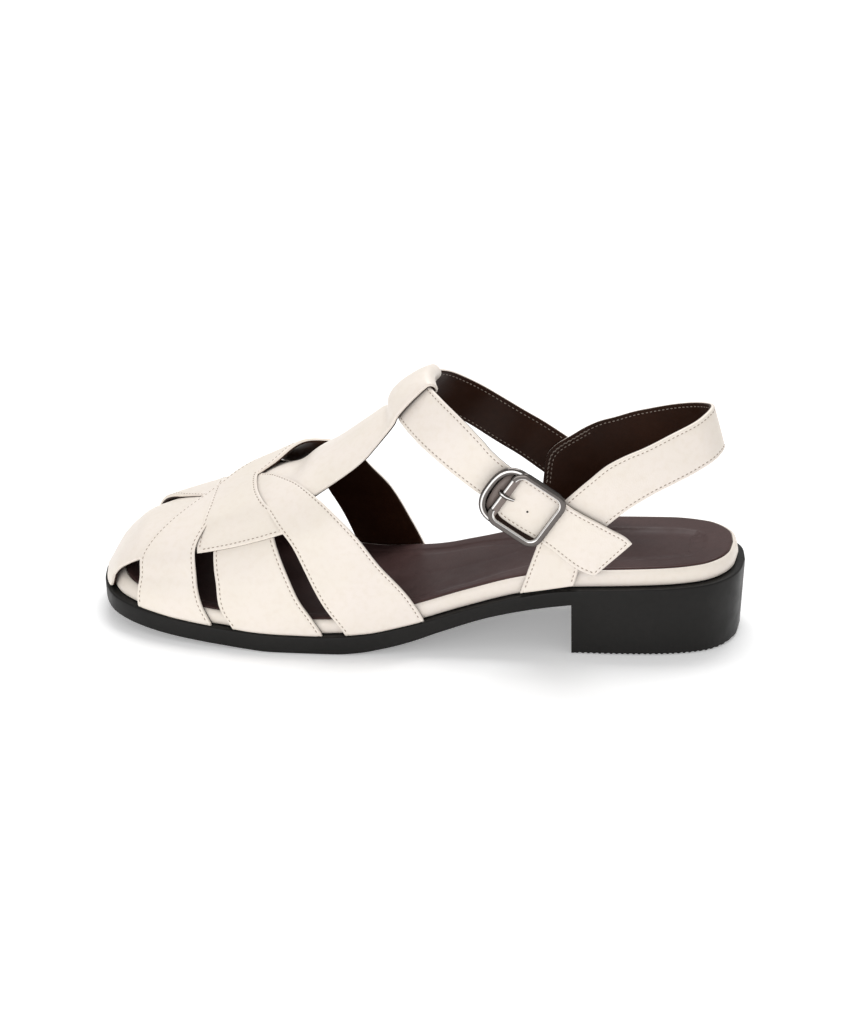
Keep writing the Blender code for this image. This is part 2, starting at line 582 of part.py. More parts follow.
def make_buckle(metal_frame, metal_prong):
    a, b, r = BUCKLE_ALONG / 2, BUCKLE_ACROSS / 2, 4.2
    frame = []
    for sa, sb, start in ((1, 1, 0), (-1, 1, 90), (-1, -1, 180), (1, -1, 270)):
        for k in range(5):
            t = math.radians(start + 22.5 * k)
            frame.append(buckle_point(sa * (a - r) + r * math.cos(t),
                                      sb * (b - r) + r * math.sin(t)))
    rim = wire("buckle_frame", frame, WIRE, True, metal_frame, False)
    bow = []
    for k in range(13):
        t = math.radians(-90 + 15 * k)
        bow.append(buckle_point(a - 2.6 + (BUCKLE_BOW + 2.6) * max(math.cos(t), 0) ** 0.8,
                                (b - 0.3) * math.copysign(abs(math.sin(t)) ** 0.8, math.sin(t)),
                                -0.35))
    loop = wire("bow", bow, WIRE * 0.92, False, metal_frame, True)
    bar = wire("bar", [buckle_point(a, -b + 2.2), buckle_point(a, b - 2.2)], BAR, False,
               metal_frame, True)
    join(rim, bar, loop)

    ring = []
    r = BAR + GAP + 0.62
    for k in range(8):
        t = math.radians(-12 + 24 * k)
        ring.append(buckle_point(a + r * math.cos(t), -0.9, r * math.sin(t)))
    tongue = [buckle_point(a - r - 0.5, -0.9, -0.1), buckle_point(a - 3.8, -0.9, -0.4),
              buckle_point(a - 5.2, -0.9, -0.5)]
    wire("buckle_prong", ring + tongue, 0.6, False, metal_prong, False)


def main():
    for obj in list(bpy.data.objects):
        bpy.data.objects.remove(obj, do_unlink=True)
    bpy.context.scene.collection.children.link(PART)
    bpy.context.scene.collection.children.link(TOOLS)
    cream = (0.83, 0.76, 0.68)
    make_sole(material("rubber", (0.02, 0.019, 0.018), 0.55),
              material("footbed wrap", cream, 0.5),
              material("insole sock", (0.11, 0.075, 0.07), 0.4))
    make_vamp(material("vamp leather", cream, 0.45))
    make_straps({n: material(n.replace("_", " ") + " leather", cream, 0.45)
                 for n in ("heel_strap", "ankle_strap", "buckle_strap")})
    make_buckle(material("buckle metal", (0.24, 0.22, 0.21), 0.25, 1.0),
                material("prong metal", (0.26, 0.24, 0.23), 0.25, 1.0))


main()
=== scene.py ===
"""Looks of the left fisherman sandal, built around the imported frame.

Every surface is worked out in the part's own design space: millimetres from the heel back,
x to the toe, y to the outer side, z up from the floor.  place() turns it into the frame.
"""
import math

import bmesh
import bpy
import numpy as np
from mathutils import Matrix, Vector


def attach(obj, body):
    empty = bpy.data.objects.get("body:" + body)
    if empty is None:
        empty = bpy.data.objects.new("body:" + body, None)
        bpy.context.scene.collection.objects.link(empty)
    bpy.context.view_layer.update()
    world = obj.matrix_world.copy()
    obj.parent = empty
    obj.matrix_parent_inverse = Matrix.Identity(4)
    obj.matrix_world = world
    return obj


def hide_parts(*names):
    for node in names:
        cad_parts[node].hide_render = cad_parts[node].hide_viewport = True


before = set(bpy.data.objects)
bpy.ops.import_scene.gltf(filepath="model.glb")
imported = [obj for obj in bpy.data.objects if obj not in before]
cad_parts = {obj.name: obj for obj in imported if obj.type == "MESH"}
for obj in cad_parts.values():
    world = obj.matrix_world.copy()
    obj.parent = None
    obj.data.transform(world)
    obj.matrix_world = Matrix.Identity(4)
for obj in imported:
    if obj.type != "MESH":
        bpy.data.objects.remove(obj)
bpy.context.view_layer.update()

# Sizes repeated from the part, millimetres
LENGTH = 254.0
WIDTH = 86.0
HEIGHT = 104.0
HEEL = 29.4             # floor to the top of the rubber at the heel back
ANKLE = 29.0            # half the width of the ankle opening, outer faces
LEATHER = 1.8           # one strap, with its lining
LAYER = 0.7             # how far each crossing layer stands above the one below
GAP = 0.3               # air between pieces that touch
BREAST = 0.2584         # share of LENGTH where the heel block ends
RAND = 6.8              # cushion above the rubber at the heel
WIRE = 1.35             # radius of the buckle wire
PUFF = 3.2              # how far the T-bar loop swells in front of the ankle strap
DIP = 2.4               # how far the T-bar lies below the arch of the band on its inner side
STRAP_INSET = 0.8       # straps stand this far inside the sole's outline
TOE = LENGTH - STRAP_INSET
TOE_ROUND = 28.0        # radius of the toe that spaces the toe band's rows

# What only this script makes, millimetres unless said
EDGE_ROUND = 0.5        # rounding of a turned leather edge
STITCH_IN = 1.4         # stitch line from the edge
STITCH_PITCH = 1.9
STITCH_LONG = 1.2
STITCH_WIDE = 0.42
CROSSED = 0.62          # leather of a band where it lies between others
RIB_PITCH = 2.2         # tread of the heel
RIB_DEPTH = 0.5
TREAD_PITCH = 3.2       # tread of the front sole
TREAD_DEPTH = 0.6
TREAD = (0.46, 0.965)   # from, to: shares of LENGTH
SOLE_LEAN = (1.3, 0.3)  # how far the rubber's side leans in at the bottom: heel, front
LOOP_MIDDLE = 0.6       # the loop round the ankle strap: its middle and half its width, along y
LOOP_HALF = 10.9
BUCKLE_CORNER = 4.2     # radius of the frame's corners
BAR_WIDE = 1.65         # half sizes of the shown bar with its roller
BAR_HIGH = 0.85
BOW_ROOT = 2.6          # the bow's ends lie this far inside the frame's end
PIN_HOLE = (-1.0, -1.2)  # in the buckle's plane: along the strap, across it
PIN_RADIUS = 0.42
# Outwards from the buckle's middle plane; SHADE_OUT places a dark sheet of painted shade in the bow,
# HOLE_OUT a dark disc of painted shade at the pin hole
SHADE_OUT = -1.25
PLATE_OUT = -0.9
HOLE_OUT = -1.5
BACKING_OUT = -3.35
# Plain gunmetal and two copies of it with light painted in: a painted highlight and painted shade
METAL_AND_PAINTED_LIGHT = ("metal", "metal painted highlight", "metal painted shade")
TIP_OUT = (0.93, 0, 0.37)       # where the toe band faces at its tip
NECK = (0.62, 0.605, 0.59, 0.575, 0.5625)   # shares of LENGTH where the T-bar leaves the foot
ANKLE_INSIDE = (80, 0, 55)      # a place inside the straps round the ankle
SEAM = (64, 84, 46)     # heel strap's front edge on the inner side: from x, to x, above z
SEAM_COLUMNS = (9, 12)  # its two rows of stitches, columns of the strap's grid
CROWN = 0.12            # how far a strap's middle stands above its edges

# Light and camera, metres and watts: place, target, size, power
TOP_BOX = ((-0.04, -0.55, 1.12), (0, 0, 0.03), (0.9, 0.7), 10.2)
FRONT_BOX = ((0.42, 1.6, 0.52), (0, 0, 0.05), (1.5, 0.9), 10.0)
SKY = 0.5
FLOOR_GLOW = 0.245
CAMERA_TURN = math.radians(186)
CAMERA_RISE = math.radians(24)
CAMERA_AWAY = 1.5
CAMERA_LENS = 134.47
CAMERA_AIM = (125.1, -0.56, 44.5)   # in the design space

# Outline of the sole, from the heel: share of LENGTH, share of WIDTH
OUTER_LINE = [
    (0, -0.0465), (0.004, 0.06), (0.016, 0.15), (0.055, 0.2605), (0.12, 0.318), (0.2, 0.34),
    (0.3, 0.3488), (0.38, 0.362), (0.45, 0.3837), (0.53, 0.4256), (0.61, 0.4628), (0.71, 0.4698),
    (0.8, 0.4372), (0.86, 0.4012), (0.91, 0.3512), (0.95, 0.2849), (0.975, 0.2116), (0.99, 0.1163),
    (0.997, 0.0267), (1, -0.0698)]
INNER_LINE = [
    (0, -0.0465), (0.004, -0.147), (0.016, -0.222), (0.055, -0.3186), (0.12, -0.3593),
    (0.2, -0.3605), (0.3, -0.3395), (0.38, -0.3058), (0.45, -0.3233), (0.56, -0.4302),
    (0.66, -0.5198), (0.75, -0.5384), (0.85, -0.4907), (0.93, -0.386), (0.968, -0.2977),
    (0.988, -0.207), (0.997, -0.1419), (1, -0.0698)]
TOP_EDGE = [
    (0, 0.9996), (0.1, 0.9753), (0.2, 0.9458), (0.27, 0.9152), (0.34, 0.8087), (0.42, 0.6116),
    (0.5, 0.4038), (0.58, 0.2794), (0.66, 0.2478), (0.74, 0.2583), (0.82, 0.29), (0.9, 0.348),
    (1, 0.4323)]
UNDERSIDE = [
    (0.2584, 0.7086), (0.3, 0.6559), (0.38, 0.5082), (0.46, 0.2826), (0.5, 0.1634), (0.54, 0.0759),
    (0.58, 0.0211), (0.62, 0), (0.715, 0), (0.76, 0.0169), (0.82, 0.0464), (0.9, 0.0928),
    (0.96, 0.1476), (1, 0.1951)]
# Ridge line of the foot under the vamp: share of LENGTH, of HEIGHT, of WIDTH
RIDGE = [
    (0.4665, 1.0336, -0.0116), (0.5295, 0.9038, -0.0151), (0.5532, 0.851, -0.0186),
    (0.5847, 0.7865, -0.0233), (0.624, 0.7096, -0.0291), (0.6634, 0.6394, -0.0349),
    (0.7028, 0.5865, -0.0407), (0.7421, 0.5336, -0.0465), (0.7815, 0.4836, -0.0512),
    (0.8209, 0.4404, -0.0558), (0.8642, 0.399, -0.0605), (0.9035, 0.3635, -0.0651),
    (0.9395, 0.325, -0.0674), (0.9677, 0.2616, -0.0686), (0.9823, 0.2039, -0.0698),
    (0.9902, 0.1655, -0.0698), (0.9969, 0.1366, -0.0698)]
# Vamp bands: front share, front turn, rear share, rear turn
BAND_A = [
    (0.9295, 1, 0.8091, 1), (0.9311, 0.908, 0.8256, 0.873), (0.9276, 0.719, 0.8347, 0.695),
    (0.9248, 0.541, 0.8367, 0.502), (0.9146, 0.406, 0.8217, 0.322), (0.8882, 0.215, 0.7992, 0.17),
    (0.8591, 0.076, 0.7736, 0.06), (0.8331, -0.02, 0.7528, -0.01), (0.7854, -0.16, 0.7252, -0.08),
    (0.7358, -0.297, 0.6984, -0.176), (0.7087, -0.469, 0.6724, -0.281),
    (0.6781, -0.596, 0.6357, -0.42), (0.6581, -0.735, 0.5995, -0.613),
    (0.64, -0.84, 0.5667, -0.73), (0.6231, -0.933, 0.5309, -0.88), (0.6101, -1, 0.4978, -1)]
BAND_B = [
    (0.6012, 1, 0.4819, 1), (0.6335, 0.896, 0.5039, 0.93), (0.665, 0.724, 0.5484, 0.803),
    (0.6847, 0.596, 0.5827, 0.67), (0.7091, 0.469, 0.6142, 0.543), (0.7358, 0.297, 0.6504, 0.385),
    (0.7697, 0.15, 0.6791, 0.255), (0.8051, 0.05, 0.7047, 0.15), (0.8366, -0.01, 0.7284, 0.045),
    (0.8642, -0.09, 0.7579, -0.05), (0.8917, -0.215, 0.7933, -0.17),
    (0.9173, -0.406, 0.8217, -0.322), (0.9272, -0.541, 0.8339, -0.502),
    (0.9311, -0.719, 0.8319, -0.695), (0.9331, -0.908, 0.8228, -0.873), (0.9331, -1, 0.8063, -1)]
# Middle band, one each side: front share, rear share, turn
MIDDLE = [
    (0.776, 0.6358, 1), (0.791, 0.6541, 0.93), (0.7984, 0.6715, 0.86), (0.8024, 0.69, 0.74),
    (0.8075, 0.7044, 0.627), (0.8102, 0.7156, 0.51), (0.8102, 0.7195, 0.42)]
# Saddle over the crossing, outer half: front share, rear share, turn
SADDLE = [
    (0.8345, 0.6986, 0.52), (0.8362, 0.7006, 0.475), (0.8355, 0.7101, 0.4), (0.8286, 0.7321, 0.29),
    (0.8232, 0.7472, 0.14), (0.8221, 0.7524, 0)]
# Toe band running back into the T-bar: share of LENGTH, outer turn, inner turn
SPINE = [
    (0.9999, 1, 1), (0.9976, 1, 1), (0.9937, 1, 1), (0.9881, 1, 1), (0.9834, 0.94, 0.97),
    (0.9795, 0.69, 0.76), (0.9668, 0.58, 0.64), (0.944, 0.545, 0.58), (0.9277, 0.53, 0.55),
    (0.8945, 0.49, 0.5), (0.8629, 0.46, 0.47), (0.8313, 0.46, 0.46), (0.8117, 0.46, 0.46),
    (0.784, 0.46, 0.46), (0.7524, 0.46, 0.46), (0.7188, 0.46, 0.46), (0.6892, 0.415, 0.43),
    (0.6489, 0.352, 0.385), (0.6094, 0.335, 0.35), (0.5849, 0.32, 0.31), (0.5577, 0.262, 0.245)]
# Straps round the ankle: top edge then bottom edge, each as shares of LENGTH, ANKLE, HEIGHT
HEEL_STRAP = [
    (0.3374, 1.028, 0.2448, 0.2559, 1.01, 0.2818), (0.328, 1.026, 0.3183, 0.2508, 1.007, 0.3269),
    (0.3138, 1.003, 0.425, 0.2453, 0.997, 0.3942), (0.2953, 1, 0.5481, 0.2284, 0.979, 0.4683),
    (0.265, 0.997, 0.6346, 0.2028, 0.931, 0.5298), (0.2311, 0.952, 0.7106, 0.1752, 0.862, 0.5817),
    (0.2091, 0.897, 0.7548, 0.1535, 0.793, 0.6135), (0.1791, 0.807, 0.7894, 0.1299, 0.71, 0.6423),
    (0.1563, 0.731, 0.8086, 0.1083, 0.628, 0.6644), (0.1146, 0.559, 0.851, 0.0748, 0.472, 0.6971),
    (0.0732, 0.31, 0.8894, 0.0461, 0.255, 0.7298), (0.0547, 0, 0.9115, 0.0358, 0, 0.7442)]
# The inner half mirrors the outer one, but for two places: the four rows next to the sole, from
# the last one up, have the y of both edges scaled, and the top edge where the ankle strap is sewn
# on is shifted by shares of LENGTH and HEIGHT
INNER_FOOT = [(0.95, 1), (0.955, 1), (0.97, 1), (0.99, 1.01)]
FRONT_EDGE_SHIFT = [
    (0, -0.004), (0, -0.006), (0.003, 0.012), (0.006, 0.030), (0.020, 0.020), (0.008, 0)]
ANKLE_STRAP = [
    (0.3236, 0.99, 0.6818, 0.3606, 0.99, 0.5638), (0.3476, 1.003, 0.7317, 0.3847, 1.003, 0.6135),
    (0.363, 1.016, 0.7635, 0.4016, 1.02, 0.6394), (0.3823, 1.021, 0.8067, 0.4173, 1.021, 0.6683),
    (0.3992, 0.962, 0.8471, 0.435, 0.997, 0.699), (0.4358, 0.769, 0.9163, 0.4724, 0.903, 0.7635),
    (0.4693, 0.514, 0.9644, 0.5122, 0.641, 0.824), (0.4854, 0.297, 0.9817, 0.5327, 0.331, 0.85),
    (0.4913, 0, 0.9894, 0.539, 0, 0.8596), (0.4854, -0.297, 0.9788, 0.5327, -0.331, 0.8471),
    (0.4685, -0.517, 0.9568, 0.5106, -0.655, 0.8144), (0.4358, -0.776, 0.8972, 0.4724, -0.907, 0.7471),
    (0.3992, -0.945, 0.828, 0.4358, -0.993, 0.6875), (0.3579, -1.017, 0.7578, 0.3937, -1.021, 0.6172),
    (0.3185, -1.069, 0.6953, 0.3559, -1.069, 0.5547), (0.2811, -1.079, 0.6337, 0.3209, -1.079, 0.4922),
    (0.2539, -1.079, 0.5866, 0.2933, -1.079, 0.446)]
BUCKLE_STRAP = [
    (0.1685, 0.965, 0.455, 0.2246, 1.065, 0.3309), (0.1772, 0.985, 0.4791, 0.2322, 1.072, 0.3385),
    (0.2028, 1.03, 0.5194, 0.2455, 1.079, 0.3519), (0.2609, 1.075, 0.602, 0.3058, 1.075, 0.4604),
    (0.2799, 1.079, 0.6342, 0.3229, 1.079, 0.4845), (0.2992, 1.079, 0.6677, 0.3416, 1.079, 0.5113),
    (0.3189, 1.079, 0.6995, 0.36, 1.079, 0.541), (0.3303, 1.079, 0.7168, 0.37, 1.079, 0.5631),
    (0.34, 1.079, 0.7244, 0.3744, 1.079, 0.5887), (0.348, 1.079, 0.7211, 0.3745, 1.079, 0.6164)]
# Buckle: centre as shares of LENGTH, ANKLE, HEIGHT, its lean and its sizes
BUCKLE_AT = (0.3275, 1.137, 0.5981)
BUCKLE_LEAN = math.radians(33.5)
BUCKLE_ACROSS = 22.9
BUCKLE_ALONG = 21.5
BUCKLE_BOW = 6.2        # reach of the half-oval past the bar
# Loop: places up the front of the ankle strap as shares of its half width, and how far the loop
# swells out there as shares of PUFF
LOOP_SWELL = [
    (-1.27, -0.05), (-1.12, 0.32), (-0.92, 0.78), (-0.6, 1.0), (-0.15, 0.98), (0.35, 0.72), (0.8, 0.36)]
# Cushion: distance in from the sole's outline, height as a share of RAND
CUSHION = [
    (14.0, 0.045), (3.9, 0.045), (3.5, 0.06), (3.2, 0.13), (3.0, 0.23), (2.86, 0.35), (2.85, 0.47),
    (2.93, 0.6), (3.1, 0.72), (3.4, 0.83), (3.8, 0.93), (4.25, 0.99), (4.6, 1.0), (4.85, 0.985),
    (5.0, 0.95), (5.05, 0.88), (6.0, 0.82), (14.0, 0.68)]
# Sock in the same terms: its rolled border and its underside, then its rim: share of the rim's
# width, drop in front, drop at the heel
SOCK_BORDER = [(5.25, 0.915), (5.15, 0.95), (5.15, 0.99), (5.25, 1.03), (5.5, 1.06), (5.9, 1.075)]
SOCK_UNDER = [(5.25, 0.905), (14.0, 0.735)]
SOCK_RIM = [
    (0.2, 0.05, 0.12), (0.45, 0.14, 0.3), (0.7, 0.24, 0.5), (0.88, 0.34, 0.62), (0.97, 0.46, 0.72),
    (1.05, 0.66, 0.95), (1.14, 0.86, 1.4), (1.3, 1.0, 1.75), (1.6, 1.08, 2.0)]
# Tongue from its root over the bar to its tip: along the strap, outwards
TONGUE = [
    (12.2, -1.3), (12.35, -0.3), (12.0, 0.75), (11.0, 1.3), (9.8, 1.3), (8.6, 0.9), (7.3, 0.2),
    (6.1, -0.5)]


# Curves and tables

def hermite(u, h, a, b, rise_a, rise_b):
    """Cubic from a to b over a length h, with a slope at each end."""
    return ((2 * u**3 - 3 * u**2 + 1) * a + (u**3 - 2 * u**2 + u) * h * rise_a
            + (3 * u**2 - 2 * u**3) * b + (u**3 - u**2) * h * rise_b)


def smooth(keys, values, t):
    """Monotone cubic through (key, value) pairs."""
    x, y = np.asarray(keys, float), np.asarray(values, float)
    h = np.diff(x)
    d = np.diff(y) / h
    m = np.zeros(len(x))
    m[0], m[-1] = d[0], d[-1]
    for i in range(1, len(x) - 1):
        if d[i - 1] * d[i] > 0:
            a, b = 2 * h[i] + h[i - 1], h[i] + 2 * h[i - 1]
            m[i] = (a + b) / (a / d[i - 1] + b / d[i])
    t = np.clip(np.asarray(t, float), x[0], x[-1])
    i = np.clip(np.searchsorted(x, t, side="right") - 1, 0, len(h) - 1)
    u = (t - x[i]) / h[i]
    return hermite(u, h[i], y[i], y[i + 1], m[i], m[i + 1])


def unit(v):
    return v / np.maximum(np.linalg.norm(v, axis=-1, keepdims=True), 1e-9)


def run_of(points):
    """Distance run along a line of points."""
    return np.concatenate([[0], np.cumsum(np.linalg.norm(np.diff(points, axis=0), axis=1))])


def cut(at, run, data):
    """Columns of data, given along run, at other places."""
    return np.stack([np.interp(at, run, column) for column in data.T], 1)


def between(data, rows):
    """Rows of a grid at broken row numbers."""
    low = np.clip(rows.astype(int), 0, len(data) - 2)
    share = (rows - low)[:, None, None]
    return data[low] * (1 - share) + data[low + 1] * share


def bend(rows, steps, weight=1.0):
    """Smooth curve through table rows, cut into equal steps along its weighted length."""
    rows = np.asarray(rows, float)
    scaled = rows * np.asarray(weight, float)
    keys = run_of(scaled)
    fine = np.linspace(0, keys[-1], steps * 12 + 1)
    line = np.stack([smooth(keys, column, fine) for column in rows.T], 1)
    run = run_of(np.stack([smooth(keys, column, fine) for column in scaled.T], 1))
    return cut(np.linspace(0, run[-1], steps + 1), run, line)


def ease(a, b, t):
    """0 below a, 1 above b, smooth between."""
    u = np.clip((np.asarray(t, float) - a) / (b - a), 0, 1)
    return u * u * (3 - 2 * u)


def bump(at, wide, t):
    """A soft ridge of height 1 at a place."""
    return np.exp(-((np.asarray(t, float) - at) / wide) ** 2)


def relax(grid, times):
    """Evens out a grid of rows along their length; the first and last rows stay."""
    g = grid.copy()
    for _ in range(times):
        g[1:-1] = (g[:-2] + 2 * g[1:-1] + g[2:]) / 4
    return g


# The foot surface, as in the part

OUTER_PLAN, INNER_PLAN = (
    bend(np.array(table) * (LENGTH, WIDTH), 400) for table in (OUTER_LINE, INNER_LINE))
OUTER_MOST, INNER_MOST = OUTER_PLAN[:, 1].max(), -INNER_PLAN[:, 1].min()
SHIFT = np.array([LENGTH / 2, (OUTER_MOST - INNER_MOST) / 2, 0])


def place(points):
    """Millimetre design space to metres in the frame."""
    return (np.asarray(points, float) - SHIFT) * 0.001


def inward(loop):
    tangent = unit(np.roll(loop, -1, 0) - np.roll(loop, 1, 0))
    return np.stack([tangent[:, 1], -tangent[:, 0]], 1)


def edge_lines():
    """The two sole edges moved in to where the straps stand."""
    loop = np.concatenate([OUTER_PLAN, INNER_PLAN[-2:0:-1]])
    loop = loop + inward(loop) * STRAP_INSET
    n = len(OUTER_PLAN)
    return loop[:n], np.concatenate([loop[n - 1:], loop[:1]])[::-1]


OUTER_EDGE, INNER_EDGE = edge_lines()


def top_edge(s):
    t = np.array(TOP_EDGE)
    return smooth(t[:, 0], t[:, 1] * HEEL, s)


def underside(s):
    t = np.array(UNDERSIDE)
    front = smooth(t[:, 0], t[:, 1] * HEEL, s)
    heel = 0.6 * (1 - ease(0, 0.035, s))
    return np.where(np.asarray(s) < BREAST, heel, front)


def section(x):
    s = x / LENGTH
    r = np.array(RIDGE)
    base = top_edge(s) + GAP
    ridge_z = np.maximum(smooth(r[:, 0], r[:, 1] * HEIGHT, s), base + 0.01)
    ridge_y = smooth(r[:, 0], r[:, 2] * WIDTH, s)
    outer = np.interp(x, OUTER_EDGE[:, 0], OUTER_EDGE[:, 1])
    inner = np.interp(x, INNER_EDGE[:, 0], INNER_EDGE[:, 1])
    return base, ridge_y, ridge_z, outer - ridge_y, ridge_y - inner


def foot(x, turn):
    """Point on the foot surface at a distance from the heel and a turn from the ridge."""
    base, ridge_y, ridge_z, outer, inner = section(x)
    a = np.abs(turn) * math.pi / 2
    across = np.sin(a) ** 0.93 * np.where(turn > 0, outer, -inner)
    return np.stack([x, ridge_y + across, base + (ridge_z - base) * np.cos(a) ** 0.93], -1)


def toe_run(x):
    """Distance from the tip of the toe, stretched where the toe is round."""
    away = np.maximum(TOE - x, 0)
    return np.sqrt(away**2 + 2 * TOE_ROUND * away)


def toe_place(run):
    """The x that belongs to a toe_run."""
    return TOE - (np.sqrt(run**2 + TOE_ROUND**2) - TOE_ROUND)


def foot_normal(x, turn):
    run = np.maximum(toe_run(x), 2.0)
    v = np.clip(turn, -0.985, 0.985)
    along = foot(toe_place(run + 0.9), v) - foot(toe_place(run - 0.9), v)
    around = foot(toe_place(run), v + 0.014) - foot(toe_place(run), v - 0.014)
    n = unit(np.cross(around, along))
    outward = n[..., 2] + n[..., 1] * np.sign(turn)
    return n * np.where(outward < 0, -1.0, 1.0)[..., None]


# Materials

def base_material(name, rgb, rough, metal=0.0, coat=0.0, coat_rough=0.3, specular=0.5):
    m = bpy.data.materials.new(name)
    m.use_nodes = True
    shader = m.node_tree.nodes["Principled BSDF"]
    for key, value in (("Base Color", (*rgb, 1)), ("Roughness", rough), ("Metallic", metal),
                       ("Coat Weight", coat), ("Coat Roughness", coat_rough),
                       ("Specular IOR Level", specular)):
        shader.inputs[key].default_value = value
    m.diffuse_color = (*rgb, 1)
    return m


def inside(mat):
    """A material's node tree, its object coordinates and its shader."""
    tree = mat.node_tree
    coord = tree.nodes.new("ShaderNodeTexCoord").outputs["Object"]
    return tree, coord, tree.nodes["Principled BSDF"]


def noise(tree, coord, scale, detail=2.0, rough=0.5, distortion=0.0):
    n = tree.nodes.new("ShaderNodeTexNoise")
    n.inputs["Scale"].default_value = scale
    n.inputs["Detail"].default_value = detail
    n.inputs["Roughness"].default_value = rough
    n.inputs["Distortion"].default_value = distortion
    tree.links.new(coord, n.inputs["Vector"])
    return n.outputs["Fac"]


def remap(tree, value, low, high, to_low, to_high):
    n = tree.nodes.new("ShaderNodeMapRange")
    for key, v in (("From Min", low), ("From Max", high), ("To Min", to_low), ("To Max", to_high)):
        n.inputs[key].default_value = v
    tree.links.new(value, n.inputs["Value"])
    return n.outputs["Result"]


def mixed(tree, fac, a, b):
    """Colour between a and b; a may be a colour or another node's output."""
    n = tree.nodes.new("ShaderNodeMix")
    n.data_type = "RGBA"
    tree.links.new(fac, n.inputs["Factor"])
    for socket, value in ((n.inputs[6], a), (n.inputs[7], b)):
        if isinstance(value, tuple):
            socket.default_value = (*value, 1)
        else:
            tree.links.new(value, socket)
    return n.outputs[2]


def bumped(tree, heights, shader):
    """Chains bump nodes: height output, distance in metres, strength."""
    normal = None
    for height, distance, strength in heights:
        n = tree.nodes.new("ShaderNodeBump")
        n.inputs["Distance"].default_value = distance
        n.inputs["Strength"].default_value = strength
        tree.links.new(height, n.inputs["Height"])
        if normal is not None:
            tree.links.new(normal, n.inputs["Normal"])
        normal = n.outputs["Normal"]
    tree.links.new(normal, shader.inputs["Normal"])


def grained(name, tones, rough, rough_spread, grain, grain_depth, crease_depth, **more):
    """Leather or rubber: cloudy colour, pebbled grain, faint creases, uneven gloss."""
    m = base_material(name, tones[0], rough, **more)
    tree, coord, shader = inside(m)
    cloud = noise(tree, coord, 38.0, 3.0)
    fine = noise(tree, coord, 420.0, 2.0)
    colour = mixed(tree, remap(tree, cloud, 0.35, 0.65, 0, 1), tones[0], tones[1])
    colour = mixed(tree, remap(tree, fine, 0.45, 0.8, 0, 0.5), colour, tones[2])
    tree.links.new(colour, shader.inputs["Base Color"])
    gloss = noise(tree, coord, 150.0, 3.0)
    tree.links.new(remap(tree, gloss, 0.3, 0.7, rough - rough_spread, rough + rough_spread),
                   shader.inputs["Roughness"])
    cells = tree.nodes.new("ShaderNodeTexVoronoi")
    cells.inputs["Scale"].default_value = grain
    tree.links.new(coord, cells.inputs["Vector"])
    crease = noise(tree, coord, 210.0, 4.0, 0.6, 1.2)
    bumped(tree, [(cells.outputs["Distance"], 0.001 * grain_depth, 0.5),
                  (crease, 0.001 * crease_depth, 0.6)], shader)
    return m


def make_materials():
    cream = ((0.865, 0.79, 0.70), (0.885, 0.805, 0.735), (0.82, 0.73, 0.63))
    dark = ((0.023, 0.0076, 0.0030), (0.032, 0.0108, 0.0046), (0.0165, 0.0056, 0.0022))
    sock = ((0.064, 0.034, 0.032), (0.077, 0.042, 0.039), (0.048, 0.026, 0.024))
    black = ((0.0095, 0.0088, 0.0081), (0.0118, 0.0109, 0.01), (0.0072, 0.0068, 0.0063))
    mats = {
        "leather": grained("cream leather", cream, 0.42, 0.05, 1500, 0.05, 0.05, coat=0.12,
                           coat_rough=0.35, specular=0.45),
        "lining": grained("dark lining", dark, 0.38, 0.06, 1300, 0.05, 0.09, coat=0.05,
                          coat_rough=0.28, specular=0.15),
        "sock": grained("insole sock", sock, 0.42, 0.06, 1100, 0.06, 0.06, coat=0.02,
                        coat_rough=0.35, specular=0.16),
        "rubber": grained("black rubber", black, 0.46, 0.07, 2200, 0.02, 0.03, specular=0.19),
        "thread": base_material("taupe thread", (0.38, 0.30, 0.235), 0.7),
        "pale thread": base_material("pale thread", (0.34, 0.285, 0.24), 0.7),
        "metal": base_material("gunmetal", (0.145, 0.13, 0.122), 0.2, metal=1.0),
        # Copies of the gunmetal with light painted in: a near-white painted highlight and a near-black
        # painted shade
        "metal painted highlight": base_material("gunmetal with painted highlight", (0.88, 0.86, 0.84), 0.3, metal=1.0),
        "metal painted shade": base_material("gunmetal with painted shade", (0.05, 0.044, 0.04), 0.22, metal=1.0),
        "roller": base_material("taupe roller", (0.19, 0.15, 0.133), 0.45),
        # Near-black painted shade for the inside of the pin hole
        "hole": base_material("pin hole painted shade", (0.006, 0.004, 0.003), 0.9),
    }
    tree, coord, shader = inside(mats["metal"])
    worn = noise(tree, coord, 600.0, 3.0)
    tree.links.new(remap(tree, worn, 0.3, 0.7, 0.12, 0.24), shader.inputs["Roughness"])
    for key in ("thread", "pale thread"):
        tree, coord, shader = inside(mats[key])
        wave = tree.nodes.new("ShaderNodeTexWave")
        wave.inputs["Scale"].default_value = 2600.0
        wave.inputs["Distortion"].default_value = 1.5
        tree.links.new(coord, wave.inputs["Vector"])
        bumped(tree, [(wave.outputs["Fac"], 0.0001, 0.6)], shader)
    return mats


MATS = make_materials()


# Mesh building

def piece(name, points, faces, mats, index=None, replaces=()):
    """Shown piece from points in design space, riding on the one body."""
    mesh = bpy.data.meshes.new(name)
    mesh.from_pydata(place(points).tolist(), [], faces)
    for mat in mats:
        mesh.materials.append(MATS[mat])
    if index is not None:
        mesh.polygons.foreach_set("material_index", np.asarray(index, np.int32))
    mesh.update()
    mesh.shade_smooth()
    obj = bpy.data.objects.new(name, mesh)
    bpy.context.scene.collection.objects.link(obj)
    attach(obj, "root")
    if replaces:
        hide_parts(*replaces)
    return obj


EDGE_STEPS = (0, 0.05, 0.14, 0.28, 0.46, 0.7, 0.95, 1.15, 1.4, 1.65, 1.9, 2.3, 2.9)
STITCH_AT = EDGE_STEPS.index(STITCH_IN)


